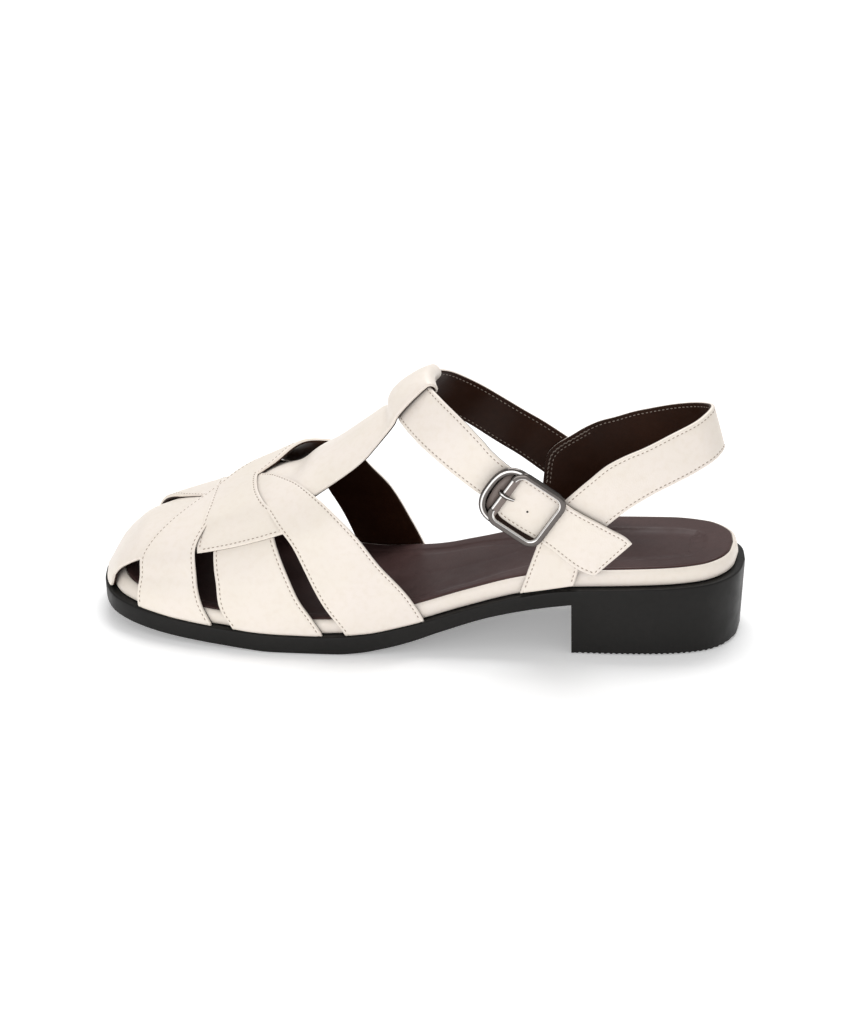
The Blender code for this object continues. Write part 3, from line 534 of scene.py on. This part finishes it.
def places_across(width, inner):
    """Distances from the first edge: fine at both edges, even in between."""
    near = np.array(EDGE_STEPS) * min(1, width / (2.3 * EDGE_STEPS[-1]))
    mid = np.linspace(near[-1], width - near[-1], inner + 2)[1:-1]
    return np.concatenate([near, mid, width - near[::-1]])


def places_along(length, step, start, end):
    near = np.array(EDGE_STEPS)
    first = near if start else near[:1]
    last = near if end else near[:1]
    count = max(int((length - first[-1] - last[-1]) / step), 2)
    mid = np.linspace(first[-1], length - last[-1], count + 2)[1:-1]
    return np.concatenate([first, mid, length - last[::-1]])


def edge_shape(d, round_, stitched):
    """Height of a turned edge at a distance from it: rounding, stitch trough, soft roll."""
    inside = np.clip(1 - d / round_, 0, 1)
    h = -round_ * (1 - np.sqrt(np.clip(1 - inside**2, 0, 1)))
    if stitched:
        h = h - 0.13 * bump(STITCH_IN, 0.32, d) + 0.05 * bump(0.75, 0.35, d)
    return h


def strap(name, grid, normals, lift, thick, extra, ends=(False, False), stitched=True, step=1.0,
          inner=10, replaces=()):
    """A strap with turned edges and a lining, from a dense grid of its top surface.

    extra gives more height at each point.  Returns both faces and the normals, for the stitches."""
    lift = np.broadcast_to(lift, grid.shape[:2]).astype(float)
    thick = np.broadcast_to(thick, grid.shape[:2]).astype(float)
    data = np.concatenate([grid, normals, lift[..., None], thick[..., None]], -1)
    centre = grid[:, grid.shape[1] // 2]
    run = run_of(centre)
    along = places_along(run[-1], step, *ends)
    data = between(data, np.interp(along, run, np.arange(len(run))))
    out, side = [], []
    for row in data:
        width_run = run_of(row[:, :3])
        d = places_across(width_run[-1], inner)
        out.append(cut(d, width_run, row))
        side.append(np.minimum(d, width_run[-1] - d))
    out, side = np.array(out), np.array(side)
    dist = side.copy()
    if ends[0]:
        dist = np.minimum(dist, along[:, None])
    if ends[1]:
        dist = np.minimum(dist, (along[-1] - along)[:, None])
    p, n, up, t = out[..., :3], unit(out[..., 3:6]), out[..., 6], out[..., 7]
    round_ = np.minimum(EDGE_ROUND, 0.42 * t)
    half = np.maximum(side.max(1, keepdims=True), 0.1)
    height = up + edge_shape(dist, round_, stitched) + CROWN * (1 - (1 - side / half) ** 2)
    height = height + extra(p, along[:, None] / along[-1])
    top = p + n * height[..., None]
    under = np.minimum(0.22, 0.2 * t) * np.clip(1 - dist / 0.3, 0, 1) ** 2
    low_face = p + n * (up - t + under)[..., None]

    r, c = dist.shape
    at = lambda i, j, face: face * r * c + i * c + j
    loop = ([(0, j) for j in range(c)] + [(i, c - 1) for i in range(1, r)]
            + [(r - 1, j) for j in range(c - 2, -1, -1)] + [(i, 0) for i in range(r - 2, 0, -1)])
    mid = np.array([(top[i, j] * 0.45 + low_face[i, j] * 0.55) for i, j in loop])
    points = np.concatenate([top.reshape(-1, 3), low_face.reshape(-1, 3), mid])
    i, j = np.meshgrid(np.arange(r - 1), np.arange(c - 1), indexing="ij")
    i, j = i.ravel(), j.ravel()
    faces_top = np.stack([at(i, j, 0), at(i, j + 1, 0), at(i + 1, j + 1, 0), at(i + 1, j, 0)], 1)
    faces_low = np.stack([at(i, j, 1), at(i + 1, j, 1), at(i + 1, j + 1, 1), at(i, j + 1, 1)], 1)
    k = len(loop)
    rim_top, rim_low = (np.array([at(a, b, face) for a, b in loop]) for face in (0, 1))
    rim_mid = 2 * r * c + np.arange(k)
    nxt = np.roll(np.arange(k), -1)
    wall_up = np.stack([rim_top, rim_mid, rim_mid[nxt], rim_top[nxt]], 1)
    wall_low = np.stack([rim_mid, rim_low, rim_low[nxt], rim_mid[nxt]], 1)
    # Which way the grid turns decides which way the faces point
    a, b = r // 2, c // 2
    cross = np.cross(p[a, b + 1] - p[a, b], p[a + 1, b] - p[a, b])
    faces = np.concatenate([faces_top, faces_low, wall_up, wall_low])
    if (cross * n[a, b]).sum() < 0:
        faces = faces[:, ::-1]
    index = np.repeat([0, 1, 0, 1], [len(faces_top), len(faces_low), k, k])
    piece(name, points, faces.tolist(), ("leather", "lining"), index, replaces)
    return {"top": top, "low": low_face, "n": n}


THREADS = {"thread": [], "pale thread": []}
# A stitch is five rings of six points: its sides, then two faces at each end
STITCH_FACES = [(r * 6 + s, r * 6 + 6 + s, r * 6 + 6 + (s + 1) % 6, r * 6 + (s + 1) % 6)
                for r in range(4) for s in range(6)]
STITCH_FACES += [(0, 1, 2, 3), (0, 3, 4, 5), (27, 26, 25, 24), (29, 28, 27, 24)]


def stitch_row(path, normals, colour, free):
    """Short raised stitches along a line of points, with both ends left free."""
    run = run_of(path)
    count = int((run[-1] - 2 * free) / STITCH_PITCH)
    if count < 1:
        return
    spare = (run[-1] - 2 * free - count * STITCH_PITCH) / 2
    at = free + spare + STITCH_PITCH * (np.arange(count) + 0.5)
    mid, n = cut(at, run, path), unit(cut(at, run, normals))
    t = unit(cut(at + STITCH_LONG / 2, run, path) - cut(at - STITCH_LONG / 2, run, path))
    side = np.cross(n, t)
    around = np.arange(6) * math.pi / 3
    rings = []
    for share, size, sink in ((-0.5, 0.35, -0.14), (-0.36, 0.85, -0.02), (0, 1, 0.05),
                              (0.36, 0.85, -0.02), (0.5, 0.35, -0.14)):
        c = mid + t * (share * STITCH_LONG) + n * sink
        r = size * STITCH_WIDE / 2
        rings.append(np.stack(
            [c + side * (r * math.cos(g)) + n * (0.8 * r * math.sin(g)) for g in around], 1))
    THREADS[colour].append(np.stack(rings, 1))


def make_threads(name):
    """Every stitch gathered so far becomes one mesh for each thread colour."""
    for colour, rows in THREADS.items():
        if rows:
            points = np.concatenate(rows).reshape(-1, 3)
            first = np.arange(0, len(points), 30)
            faces = (first[:, None, None] + STITCH_FACES).reshape(-1, 4)
            piece(name + "_" + colour.replace(" ", "_"), points, faces.tolist(), (colour,))
        rows.clear()


def stitch_sides(s, free=1.0, face="top", colour="thread"):
    n = s["n"] if face == "top" else -s["n"]
    for column in (STITCH_AT, -1 - STITCH_AT):
        stitch_row(s[face][:, column], n[:, column], colour, free)


def stitch_end(s, row, free=1.6):
    stitch_row(s["top"][row], s["n"][row], "thread", free)


# The vamp

COLUMNS = np.linspace(0, 1, 33)


def spread(rows, a, b):
    """Even columns between two columns of table rows."""
    return rows[:, a:a + 1] * (1 - COLUMNS) + rows[:, b:b + 1] * COLUMNS


def wrinkle(p, size, long, seed):
    """Slow unevenness of leather, a sum of waves with fixed phases."""
    rng = np.random.default_rng(seed)
    total = np.zeros(p.shape[:-1])
    for _ in range(7):
        k = rng.normal(size=3)
        k *= 2 * math.pi / long / np.linalg.norm(k) * rng.uniform(0.7, 1.8)
        total = total + np.sin(p @ k + rng.uniform(0, 6.28))
    return total * size / 3


def uneven(size, long, seed):
    """The same, in the form that strap() calls."""
    return lambda p, u: wrinkle(p, size, long, seed)


def crossing_band(name, table, level, arch_at, arch_width, arch, seed):
    rows = relax(bend(table, 260, (2.5, 1, 2.5, 1)), 12)
    x, turn = spread(rows, 0, 2) * LENGTH, spread(rows, 1, 3)
    crossed = 1 - ease(0.5, 0.72, np.abs(turn))
    bow = arch * bump(arch_at, arch_width, turn)
    lift = LAYER * level * crossed + bow
    thick = np.minimum(LEATHER, CROSSED + bow + (LEATHER - CROSSED) * (1 - crossed))
    stitch_sides(strap(name, foot(x, turn), foot_normal(x, turn), lift, thick,
                       uneven(0.07, 16, seed)))


def make_vamp():
    for side, label in ((1, "outer"), (-1, "inner")):
        r = relax(bend(MIDDLE, 120, (2.5, 2.5, 1)), 8)
        x, turn = spread(r, 0, 1) * LENGTH, side * spread(r, 2, 2)
        stitch_sides(strap("middle_band_" + label, foot(x, turn), foot_normal(x, turn), 0.0,
                           LEATHER, uneven(0.06, 15, 5)))
        make_threads("stitches_middle_" + label)
    crossing_band("band_rear_outside", BAND_B, 2, -0.34, 0.2, 2.2, 11)
    make_threads("stitches_band_rear")
    crossing_band("band_front_outside", BAND_A, 3, -0.23, 0.15, 3.4, 12)
    make_threads("stitches_band_front")

    half = np.array(SADDLE)
    r = relax(bend(np.concatenate([half, half[-2::-1] * (1, 1, -1)]), 160, (2.5, 2.5, 1)), 6)
    x, turn = spread(r, 0, 1) * LENGTH, spread(r, 2, 2)
    down = ease(0.26, 0.40, np.abs(turn))

    def fold(p, u):
        """The bend where the saddle comes down from the crossing."""
        v = np.abs(u - 0.5) * 2
        return 0.10 * bump(0.60, 0.03, v) - 0.12 * bump(0.66, 0.035, v) + wrinkle(p, 0.05, 12, 8)

    s = strap("saddle", foot(x, turn), foot_normal(x, turn), LAYER * (4 - 2.7 * down),
              CROSSED + 0.25, fold, (True, True))
    stitch_sides(s, STITCH_IN)
    stitch_end(s, STITCH_AT)
    stitch_end(s, -1 - STITCH_AT)
    make_threads("stitches_saddle")


def strap_rows(table, steps):
    """Millimetres of the top and the bottom edge along a strap round the ankle."""
    return bend(np.array(table) * (LENGTH, ANKLE, HEIGHT, LENGTH, ANKLE, HEIGHT), steps)


def loop_frames(y):
    """Centre, upward direction, outward direction and half width of the ankle strap at y."""
    rows = strap_rows(ANKLE_STRAP, 400)
    mid = (rows[:, 1] + rows[:, 4]) / 2
    keep = np.where(np.abs(mid) < 16)[0]
    order = keep[np.argsort(mid[keep])]
    at = cut(y, mid[order], rows[order])
    up = at[:, :3] - at[:, 3:]
    width = np.linalg.norm(up, axis=1, keepdims=True)
    up = up / width
    centre = (at[:, :3] + at[:, 3:]) / 2
    out = unit(np.cross(np.gradient(centre, axis=0), up))
    return centre, up, out * np.where(out[:, :1] < 0, -1.0, 1.0), width / 2


def spline_rows(grid, steps):
    """Catmull-Rom through grid rows, cut into equal steps along the middle column."""
    mid = grid[:, grid.shape[1] // 2]
    keys = run_of(mid)
    tangent = np.gradient(grid, keys, axis=0)
    t = np.linspace(0, keys[-1], steps)
    i = np.clip(np.searchsorted(keys, t, side="right") - 1, 0, len(keys) - 2)
    h = keys[i + 1] - keys[i]
    u = ((t - keys[i]) / h)[:, None, None]
    return hermite(u, h[:, None, None], grid[i], grid[i + 1], tangent[i], tangent[i + 1])


def make_spine():
    """Toe band, T-bar and its end folded over the ankle strap: one sheet."""
    w = np.linspace(-1, 1, 33)
    table = np.array(SPINE)
    rows = bend(np.column_stack([toe_run(table[:, 0] * TOE), table[:, 1:]]), 420, (1, 25, 25))
    rows[:, 1:] = relax(rows[:, 1:], 10)
    x_row = toe_place(rows[:, 0])
    turn = np.where(w > 0, rows[:, 1:2] * w, rows[:, 2:3] * w)
    x = np.repeat(x_row[:, None], len(w), 1)
    share = x / LENGTH
    p, n = foot(x, turn), foot_normal(x, turn)
    at_tip = (1 - ease(1.5, 7.0, rows[:, 0]))[:, None, None]
    n = unit(n * (1 - at_tip) + unit(np.array(TIP_OUT)) * at_tip)
    lift = LAYER * ease(0.955, 0.925, share) * ease(0.63, 0.68, share)
    lift = lift - DIP * bump(0.697, 0.024, share) * ease(0.3, 0.0, turn)
    p = p + n * lift[..., None]

    # The T-bar goes on over the ankle strap, round its top edge and down behind it
    centre, up, out, half = loop_frames(LOOP_MIDDLE + LOOP_HALF * w)
    reach = GAP + LEATHER
    fold = []
    flat = 1 - 0.75 * np.abs(w[:, None]) ** 3  # less swell towards the loop's side edges
    for f, swell in LOOP_SWELL:
        fold.append(centre + up * (half * f) + out * (reach + PUFF * swell * flat))
    for angle in range(20, 180, 20):
        a = math.radians(angle)
        fold.append(centre + up * (half + 2.0 * math.sin(a))
                    + out * (-LEATHER / 2 + (reach + LEATHER / 2) * math.cos(a)))
    for f in (0.8, 0.4, 0.0, -0.5):
        fold.append(centre + up * (half * f) - out * (LEATHER + reach))
    keys = [np.abs(x_row / LENGTH - s).argmin() for s in NECK]
    neck = spline_rows(np.stack([p[k] for k in keys] + fold), 260)
    grid = np.concatenate([p[:keys[0]], neck])
    n_all = unit(np.cross(np.gradient(grid, axis=1), np.gradient(grid, axis=0)))
    middle = len(w) // 2
    facing = (n_all[:, middle:middle + 1] * [0.5, 0, 1]).sum(-1, keepdims=True)
    n_all *= np.where(facing < 0, -1, 1)
    # Behind the strap the outside of the fold looks back at the foot
    for k in range(1, len(grid)):
        if (n_all[k, middle] * n_all[k - 1, middle]).sum() < 0:
            n_all[k] = -n_all[k]
    n_all[:keys[0]] = n[:keys[0]]
    n_all[keys[0] - 6:keys[0] + 6] = relax(n_all[keys[0] - 8:keys[0] + 8], 6)[2:-2]
    run = run_of(grid[:, middle])
    even = np.interp(np.linspace(0, run[-1], 520), run, np.arange(len(run)))
    strap("toe_band_and_t_bar", between(grid, even), unit(between(n_all, even)), 0.0,
          LEATHER - 0.1, uneven(0.06, 18, 3), (False, True), stitched=False, inner=22,
          replaces=("upper",))


# Straps round the ankle

def ribbon(table, steps, smoothing=10):
    """Grid and outward normals of a strap round the ankle."""
    rows = relax(strap_rows(table, steps), smoothing)
    w = COLUMNS[None, :, None]
    grid = rows[:, None, :3] * (1 - w) + rows[:, None, 3:] * w
    along = np.gradient(grid, axis=0)
    down = np.broadcast_to(rows[:, None, 3:] - rows[:, None, :3], grid.shape)
    n = unit(np.cross(along, down))
    away = grid - ANKLE_INSIDE
    n *= np.where((n * away).sum(-1) < 0, -1.0, 1.0)[..., None]
    return grid, n


def make_straps():
    half = np.array(HEEL_STRAP)
    other = half[-2::-1] * (1, -1, 1, 1, -1, 1)
    for k, share in enumerate(INNER_FOOT):
        other[-1 - k, [1, 4]] *= share
    other[-8:-2, [0, 2]] += FRONT_EDGE_SHIFT
    grid, n = ribbon(np.concatenate([half, other]), 420)
    grid[..., 2] = np.maximum(grid[..., 2], top_edge(grid[..., 0] / LENGTH) + GAP + 0.1)
    s = strap("back_strap", grid, n, 0.0, LEATHER, uneven(0.07, 20, 21),
              replaces=("heel_strap",))
    stitch_sides(s)
    stitch_sides(s, 14, "low", "pale thread")
    # The seam that joins it to the ankle strap on the inner side
    x, y, z = s["low"][:, 0].T
    joint = (y < 0) & (x > SEAM[0]) & (x < SEAM[1]) & (z > SEAM[2])
    for column in SEAM_COLUMNS:
        stitch_row(s["low"][joint, column], -s["n"][joint, column], "pale thread", 0.3)
    make_threads("stitches_back_strap")

    grid, n = ribbon(ANKLE_STRAP, 420)
    s = strap("front_ankle_strap", grid, n, 0.0, LEATHER, uneven(0.07, 20, 22), (True, True),
              replaces=("ankle_strap",))
    stitch_sides(s)
    stitch_sides(s, 4, "low", "pale thread")
    stitch_end(s, -1 - STITCH_AT, 1.2)
    make_threads("stitches_ankle_strap")

    grid, n = ribbon(BUCKLE_STRAP, 200, 5)
    s = strap("tail_strap", grid, n, 0.0, LEATHER - 0.25, uneven(0.05, 14, 23), (True, True),
              step=0.8, replaces=("buckle_strap",))
    stitch_sides(s, STITCH_IN)
    stitch_end(s, STITCH_AT)
    stitch_end(s, -1 - STITCH_AT, 1.2)
    make_threads("stitches_tail_strap")


# The sole

def sole_shares():
    x = np.concatenate([
        8 * (1 - np.cos(np.linspace(0, math.pi / 2, 34))),
        np.arange(8.2, BREAST * LENGTH - 0.4, 0.34)])
    heel = x / LENGTH
    front = np.arange(BREAST * LENGTH + 1.0, LENGTH - 9, 0.9) / LENGTH
    toe = 1 - 9 / LENGTH * (1 - np.sin(np.linspace(0, math.pi / 2, 30)))
    breast = BREAST + np.array([-0.0012, -0.0006, 0.0006, 0.0012])
    return np.unique(np.round(np.concatenate([heel, breast, front, toe]), 7))


SHARES = sole_shares()


def base_ring():
    x = SHARES * LENGTH
    outer, inner = (cut(x, plan[:, 0], plan) for plan in (OUTER_PLAN, INNER_PLAN))
    return np.concatenate([outer, inner[-2:0:-1]]), np.concatenate([SHARES, SHARES[-2:0:-1]])


RING, RING_SHARE = base_ring()
RING_IN = relax(np.concatenate([inward(RING)[-6:], inward(RING), inward(RING)[:6]]), 4)[6:-6]
RING_IN = unit(RING_IN)


def level_ring(amount, height):
    return np.column_stack([RING + RING_IN * np.reshape(amount, (-1, 1)),
                            np.broadcast_to(height, len(RING))])


def to_centre(ring, steps, shape=None):
    """Rings that close a ring towards the shoe's centre line."""
    n = len(ring)
    partner = (n - np.arange(n)) % n
    middle = (ring + ring[partner]) / 2
    made = []
    for t in np.linspace(0, 1, steps + 1)[1:]:
        r = ring * (1 - t) + middle * t
        if shape is not None:
            r[:, 2] += shape(r, t)
        made.append(r)
    return made


def ring_solid(name, rings, look, part):
    """Closed skin over stacked rings, in one look, shown for one solid."""
    n = len(rings[0])
    faces = []
    j = np.arange(n)
    i = (j + 1) % n
    for k in range(len(rings) - 1):
        faces.append(np.stack([k * n + j, k * n + i, (k + 1) * n + i, (k + 1) * n + j], 1))
    obj = piece(name, np.concatenate(rings), np.concatenate(faces)[:, ::-1].tolist(), (look,),
                None, (part,))
    bm = bmesh.new()
    bm.from_mesh(obj.data)
    bmesh.ops.remove_doubles(bm, verts=bm.verts, dist=1e-7)
    bmesh.ops.dissolve_degenerate(bm, edges=bm.edges, dist=1e-8)
    bmesh.ops.recalc_face_normals(bm, faces=bm.faces)
    bm.to_mesh(obj.data)
    bm.free()


def make_sole():
    s = RING_SHARE
    top, low = top_edge(s), underside(s)
    heel = s < BREAST
    x = RING[:, 0]
    rib = RIB_DEPTH * ease(-0.35, 0.35, np.sin(2 * math.pi * x / RIB_PITCH))
    rib = rib * ease(0.004, 0.012, s) * (1 - ease(BREAST - 0.01, BREAST - 0.004, s))
    tread = TREAD_DEPTH * ease(-0.3, 0.3, np.sin(2 * math.pi * x / TREAD_PITCH))
    tread = tread * ease(TREAD[0], TREAD[0] + 0.02, s) * (1 - ease(TREAD[1] - 0.015, TREAD[1], s))
    lean = np.where(heel, *SOLE_LEAN)
    tread_ring = level_ring(np.where(heel, lean + 1.2, lean + 5.1), low + rib + tread)
    rings = to_centre(tread_ring, 5)[::-1]
    rings += [tread_ring, level_ring(np.where(heel, lean + 1.0, lean + 4.5), low + rib),
              level_ring(lean + 0.8, low + rib), level_ring(lean + 0.36, low + 0.08 + rib * 0.9),
              level_ring(lean + 0.1, low + 0.32 + rib * 0.5), level_ring(lean, low + 0.8)]
    for t in (0.25, 0.5, 0.75):
        rings.append(level_ring(lean * (1 - t), (low + 0.8) * (1 - t) + (top - 0.8) * t))
    rings += [level_ring(0.0, top - 0.75), level_ring(0.05, top - 0.4), level_ring(0.2, top - 0.15),
              level_ring(0.5, top), level_ring(3.2, top)]
    rings += to_centre(rings[-1], 3)
    ring_solid("rubber_sole", rings, "rubber", "outsole")

    toe = 3.2 * ease(0.88, 0.995, s)
    rise = RAND * (1 - 0.16 * ease(0.48, 0.62, s))
    rings = [level_ring(i + toe * h, top + rise * h) for i, h in CUSHION]
    rings = to_centre(rings[0], 3)[::-1] + rings + to_centre(rings[-1], 3)
    ring_solid("cushion_rand", rings, "leather", "footbed")
    make_insole(toe, top, rise)


def make_insole(toe, top, rise):
    """Sock with a rolled border, a broad sloping rim, a cupped heel and an arch pad."""
    heel = 1 - ease(0.30, 0.42, RING_SHARE)          # the rim is broad at the heel only
    rings = [level_ring(i + toe, top + rise * h) for i, h in SOCK_BORDER]
    crest_in, crest = SOCK_BORDER[-1]
    rim = 4.2 + 4.6 * heel
    for t, drop, dip in SOCK_RIM:
        level = crest * rise - drop * (1 - heel) - dip * heel
        rings.append(level_ring(crest_in + toe + rim * t, top + level))

    def arch_pad(r, t):
        """A soft mound whose rear and front end in curved lines."""
        away = ((r[:, 0] - 112) / 30) ** 2 + ((r[:, 1] + 14) / 17) ** 2
        return 0.6 * np.clip(1 - away, 0, 1) ** 0.5 * np.minimum(1, t * 6) * (1 - t * 0.2)

    rings = rings + to_centre(rings[-1], 26, arch_pad)
    low = [level_ring(i + toe, top + rise * h) for i, h in SOCK_UNDER]
    rings = to_centre(low[-1], 3)[::-1] + low[::-1] + rings
    ring_solid("insole_sock", rings, "sock", "insole")


# The buckle

def buckle_point(along, across, out=0.0):
    c = np.array(BUCKLE_AT) * (LENGTH, ANKLE, HEIGHT)
    u = np.array([math.cos(BUCKLE_LEAN), 0, math.sin(BUCKLE_LEAN)])
    w = np.array([-math.sin(BUCKLE_LEAN), 0, math.cos(BUCKLE_LEAN)])
    return c + u * along + w * across + np.array([0, 1.0, 0]) * out


def tube(name, rings, looks, which, replaces=()):
    """Closed bar from rings of points; which gives each side of a ring one of the looks, among them a
    painted highlight and painted shade.
    """
    rows, n = rings.shape[:2]
    faces = [(r * n + c, r * n + (c + 1) % n, (r + 1) * n + (c + 1) % n, (r + 1) * n + c)
             for r in range(rows - 1) for c in range(n)]
    faces += [tuple(range(n))[::-1], tuple((rows - 1) * n + c for c in range(n))]
    index = which * (rows - 1) + [0, 0]
    piece(name, rings.reshape(-1, 3), faces, looks, index, replaces)


def wire(name, path, wide, high, looks, which, replaces=()):
    """Bar of a soft-cornered section along a path in the buckle's plane.

    which goes round the 16 sides of the section, from the inner side over the face outwards; the bright
    and the dark look among them are a painted highlight and painted shade."""
    path = np.asarray(path, float)
    t = unit(np.gradient(path, axis=0))
    side = unit(np.cross(t, [0, 1.0, 0]))
    up = unit(np.cross(side, t))
    a = np.arange(16) * math.pi / 8
    c, s = (np.sign(v) * np.abs(v) ** 0.85 for v in (np.cos(a), np.sin(a)))
    rings = (path[:, None] + side[:, None] * (c * wide)[:, None]
             + up[:, None] * (s * high)[:, None])
    tube(name, rings, looks, which, replaces)


def plate(name, plan, out, thick, look):
    """Flat piece in the buckle's plane from its outline."""
    n = len(plan)
    front = [buckle_point(u, v, out) for u, v in plan]
    back = [buckle_point(u, v, out - thick) for u, v in plan]
    middle = np.mean(plan, 0)
    points = front + back + [buckle_point(*middle, out), buckle_point(*middle, out - thick)]
    faces = []
    for k in range(n):
        j = (k + 1) % n
        faces += [(k, j, j + n, k + n), (2 * n, j, k), (2 * n + 1, k + n, j + n)]
    piece(name, np.array(points), faces, (look,))


def make_buckle():
    """Rim open at the bar, half-oval bow, bar with its roller, plate, backing, pinhole, tongue. A dark
    sheet in the bow and a dark disc at the pinhole are painted shade; the metal's sides carry a painted
    highlight and painted shade.
    """
    a, b, r = BUCKLE_ALONG / 2, BUCKLE_ACROSS / 2, BUCKLE_CORNER
    corners = []
    for sa, sb, start in ((1, 1, 0), (-1, 1, 90), (-1, -1, 180), (1, -1, 270)):
        for k in range(13):
            t = math.radians(start + 7.5 * k)
            corners.append((sa * (a - r) + r * math.cos(t), sb * (b - r) + r * math.sin(t)))
    run = run_of(corners)
    plan = cut(np.linspace(0, run[-1], 150), run, np.array(corners))
    # Rim: two sides near the inner edge get a painted highlight, the inner side and the back half
    # painted shade
    wire("buckle_rim", [buckle_point(u, v) for u, v in plan], WIRE + 0.05, WIRE - 0.1, METAL_AND_PAINTED_LIGHT,
         [2, 1, 1, 0, 0, 0, 0] + [2] * 9, ("buckle_frame",))
    bow = []
    for k in range(61):
        t = math.radians(-90 + 3 * k)
        bow.append(buckle_point(a - BOW_ROOT + (BUCKLE_BOW + BOW_ROOT) * max(math.cos(t), 0) ** 0.8,
                                (b - 0.3) * math.copysign(abs(math.sin(t)) ** 0.8, math.sin(t)),
                                -0.35))
    # Bow: a painted highlight line along its face, painted shade on the inner side and the back half
    wire("buckle_bow", bow, WIRE + 0.05, WIRE * 0.85, METAL_AND_PAINTED_LIGHT, [2, 0, 0, 0, 1, 0, 0, 0] + [2] * 8)
    bar = [buckle_point(a - 0.75, v, 0.1) for v in np.linspace(-b + 1.5, b - 1.5, 24)]
    # Bar: taupe roller on its face, a painted highlight line along one edge, painted shade on the rest
    wire("buckle_bar", bar, BAR_WIDE, BAR_HIGH, ("roller", "metal painted highlight", "metal painted shade"),
         [2, 0, 0, 0, 0, 1, 1] + [2] * 9)

    half_oval = lambda reach, tall: [
        (a + 0.1 + reach * max(math.cos(q), 0) ** 0.8, tall * math.sin(q))
        for q in np.linspace(-math.pi / 2, math.pi / 2, 31)]
    # A dark sheet behind the bow: painted shade for the dark crescent inside it
    plate("bow_shade", half_oval(BUCKLE_BOW - 0.9, b - 0.9), SHADE_OUT, 0.25, "metal painted shade")
    plate("bow_plate", half_oval(BUCKLE_BOW - 2.2, b - 1.5), PLATE_OUT, 0.25, "roller")
    plate("strap_behind_buckle", [(u * 0.94, v * 0.96 - 0.9) for u, v in plan], BACKING_OUT, 0.25,
          "lining")
    # A near-black disc of painted shade stands in for the depth of the pin hole
    hole = [(PIN_HOLE[0] + PIN_RADIUS * math.cos(q), PIN_HOLE[1] + PIN_RADIUS * math.sin(q))
            for q in np.linspace(0, 2 * math.pi, 17)[:-1]]
    plate("pin_hole_painted_shade", hole, HOLE_OUT, 0.4, "hole")

    hook = bend(np.array(TONGUE), 48)
    path = np.array([buckle_point(u, 0.1, o) for u, o in hook])
    taper = np.interp(np.linspace(0, 1, len(path)), (0, 0.55, 1), (1, 1, 0.7))
    make_tongue(path, taper)


def make_tongue(path, taper):
    """It hooks over the bar and lies on the strap."""
    t = unit(np.gradient(path, axis=0))
    side = unit(buckle_point(0, 1) - buckle_point(0, 0))
    up = unit(np.cross(t, np.broadcast_to(side, t.shape)))
    a = np.arange(12) * math.pi / 6
    rings = (path[:, None] + side * (np.cos(a)[None, :, None] * 0.85 * taper[:, None, None])
             + up[:, None] * (np.sin(a)[None, :, None] * 0.6 * taper[:, None, None]))
    # Tongue: a painted highlight along its top, painted shade on its sides and underside
    tube("buckle_tongue", rings, METAL_AND_PAINTED_LIGHT, [0, 0, 1, 0] + [2] * 8,
         ("buckle_prong",))


# Stage, light, camera

def stage():
    bpy.ops.mesh.primitive_plane_add(size=9.0, location=(0, 0, -0.0002))
    floor = bpy.context.object
    floor.name = "floor"
    m = base_material("white floor", (0.95, 0.95, 0.95), 0.9, specular=0.1)
    shader = m.node_tree.nodes["Principled BSDF"]
    shader.inputs["Emission Color"].default_value = (1, 1, 1, 1)
    shader.inputs["Emission Strength"].default_value = FLOOR_GLOW
    floor.data.materials.append(m)


def area_light(name, at, target, size, power):
    data = bpy.data.lights.new(name, "AREA")
    data.shape = "RECTANGLE"
    data.size, data.size_y = size
    data.energy = power
    obj = bpy.data.objects.new(name, data)
    bpy.context.scene.collection.objects.link(obj)
    obj.location = at
    obj.rotation_euler = (Vector(target) - Vector(at)).to_track_quat("-Z", "Y").to_euler()


def lights():
    world = bpy.data.worlds.new("studio")
    bpy.context.scene.world = world
    world.use_nodes = True
    bg = world.node_tree.nodes["Background"]
    bg.inputs["Color"].default_value = (1, 1, 1, 1)
    bg.inputs["Strength"].default_value = SKY
    area_light("top box", *TOP_BOX)
    area_light("front box", *FRONT_BOX)
    view = bpy.context.scene.view_settings
    view.view_transform = "Standard"
    view.look = "None"


def camera():
    back = np.array([math.sin(CAMERA_TURN) * math.cos(CAMERA_RISE),
                     -math.cos(CAMERA_TURN) * math.cos(CAMERA_RISE), math.sin(CAMERA_RISE)])
    aim = place(CAMERA_AIM)
    data = bpy.data.cameras.new("camera")
    data.lens = CAMERA_LENS
    data.clip_start, data.clip_end = 0.05, 50
    obj = bpy.data.objects.new("camera", data)
    obj.location = aim + back * CAMERA_AWAY
    obj.rotation_euler = Vector(-back).to_track_quat("-Z", "Y").to_euler()
    bpy.context.scene.collection.objects.link(obj)
    bpy.context.scene.camera = obj


camera()
make_sole()
make_spine()
make_vamp()
make_straps()
make_buckle()
stage()
lights()
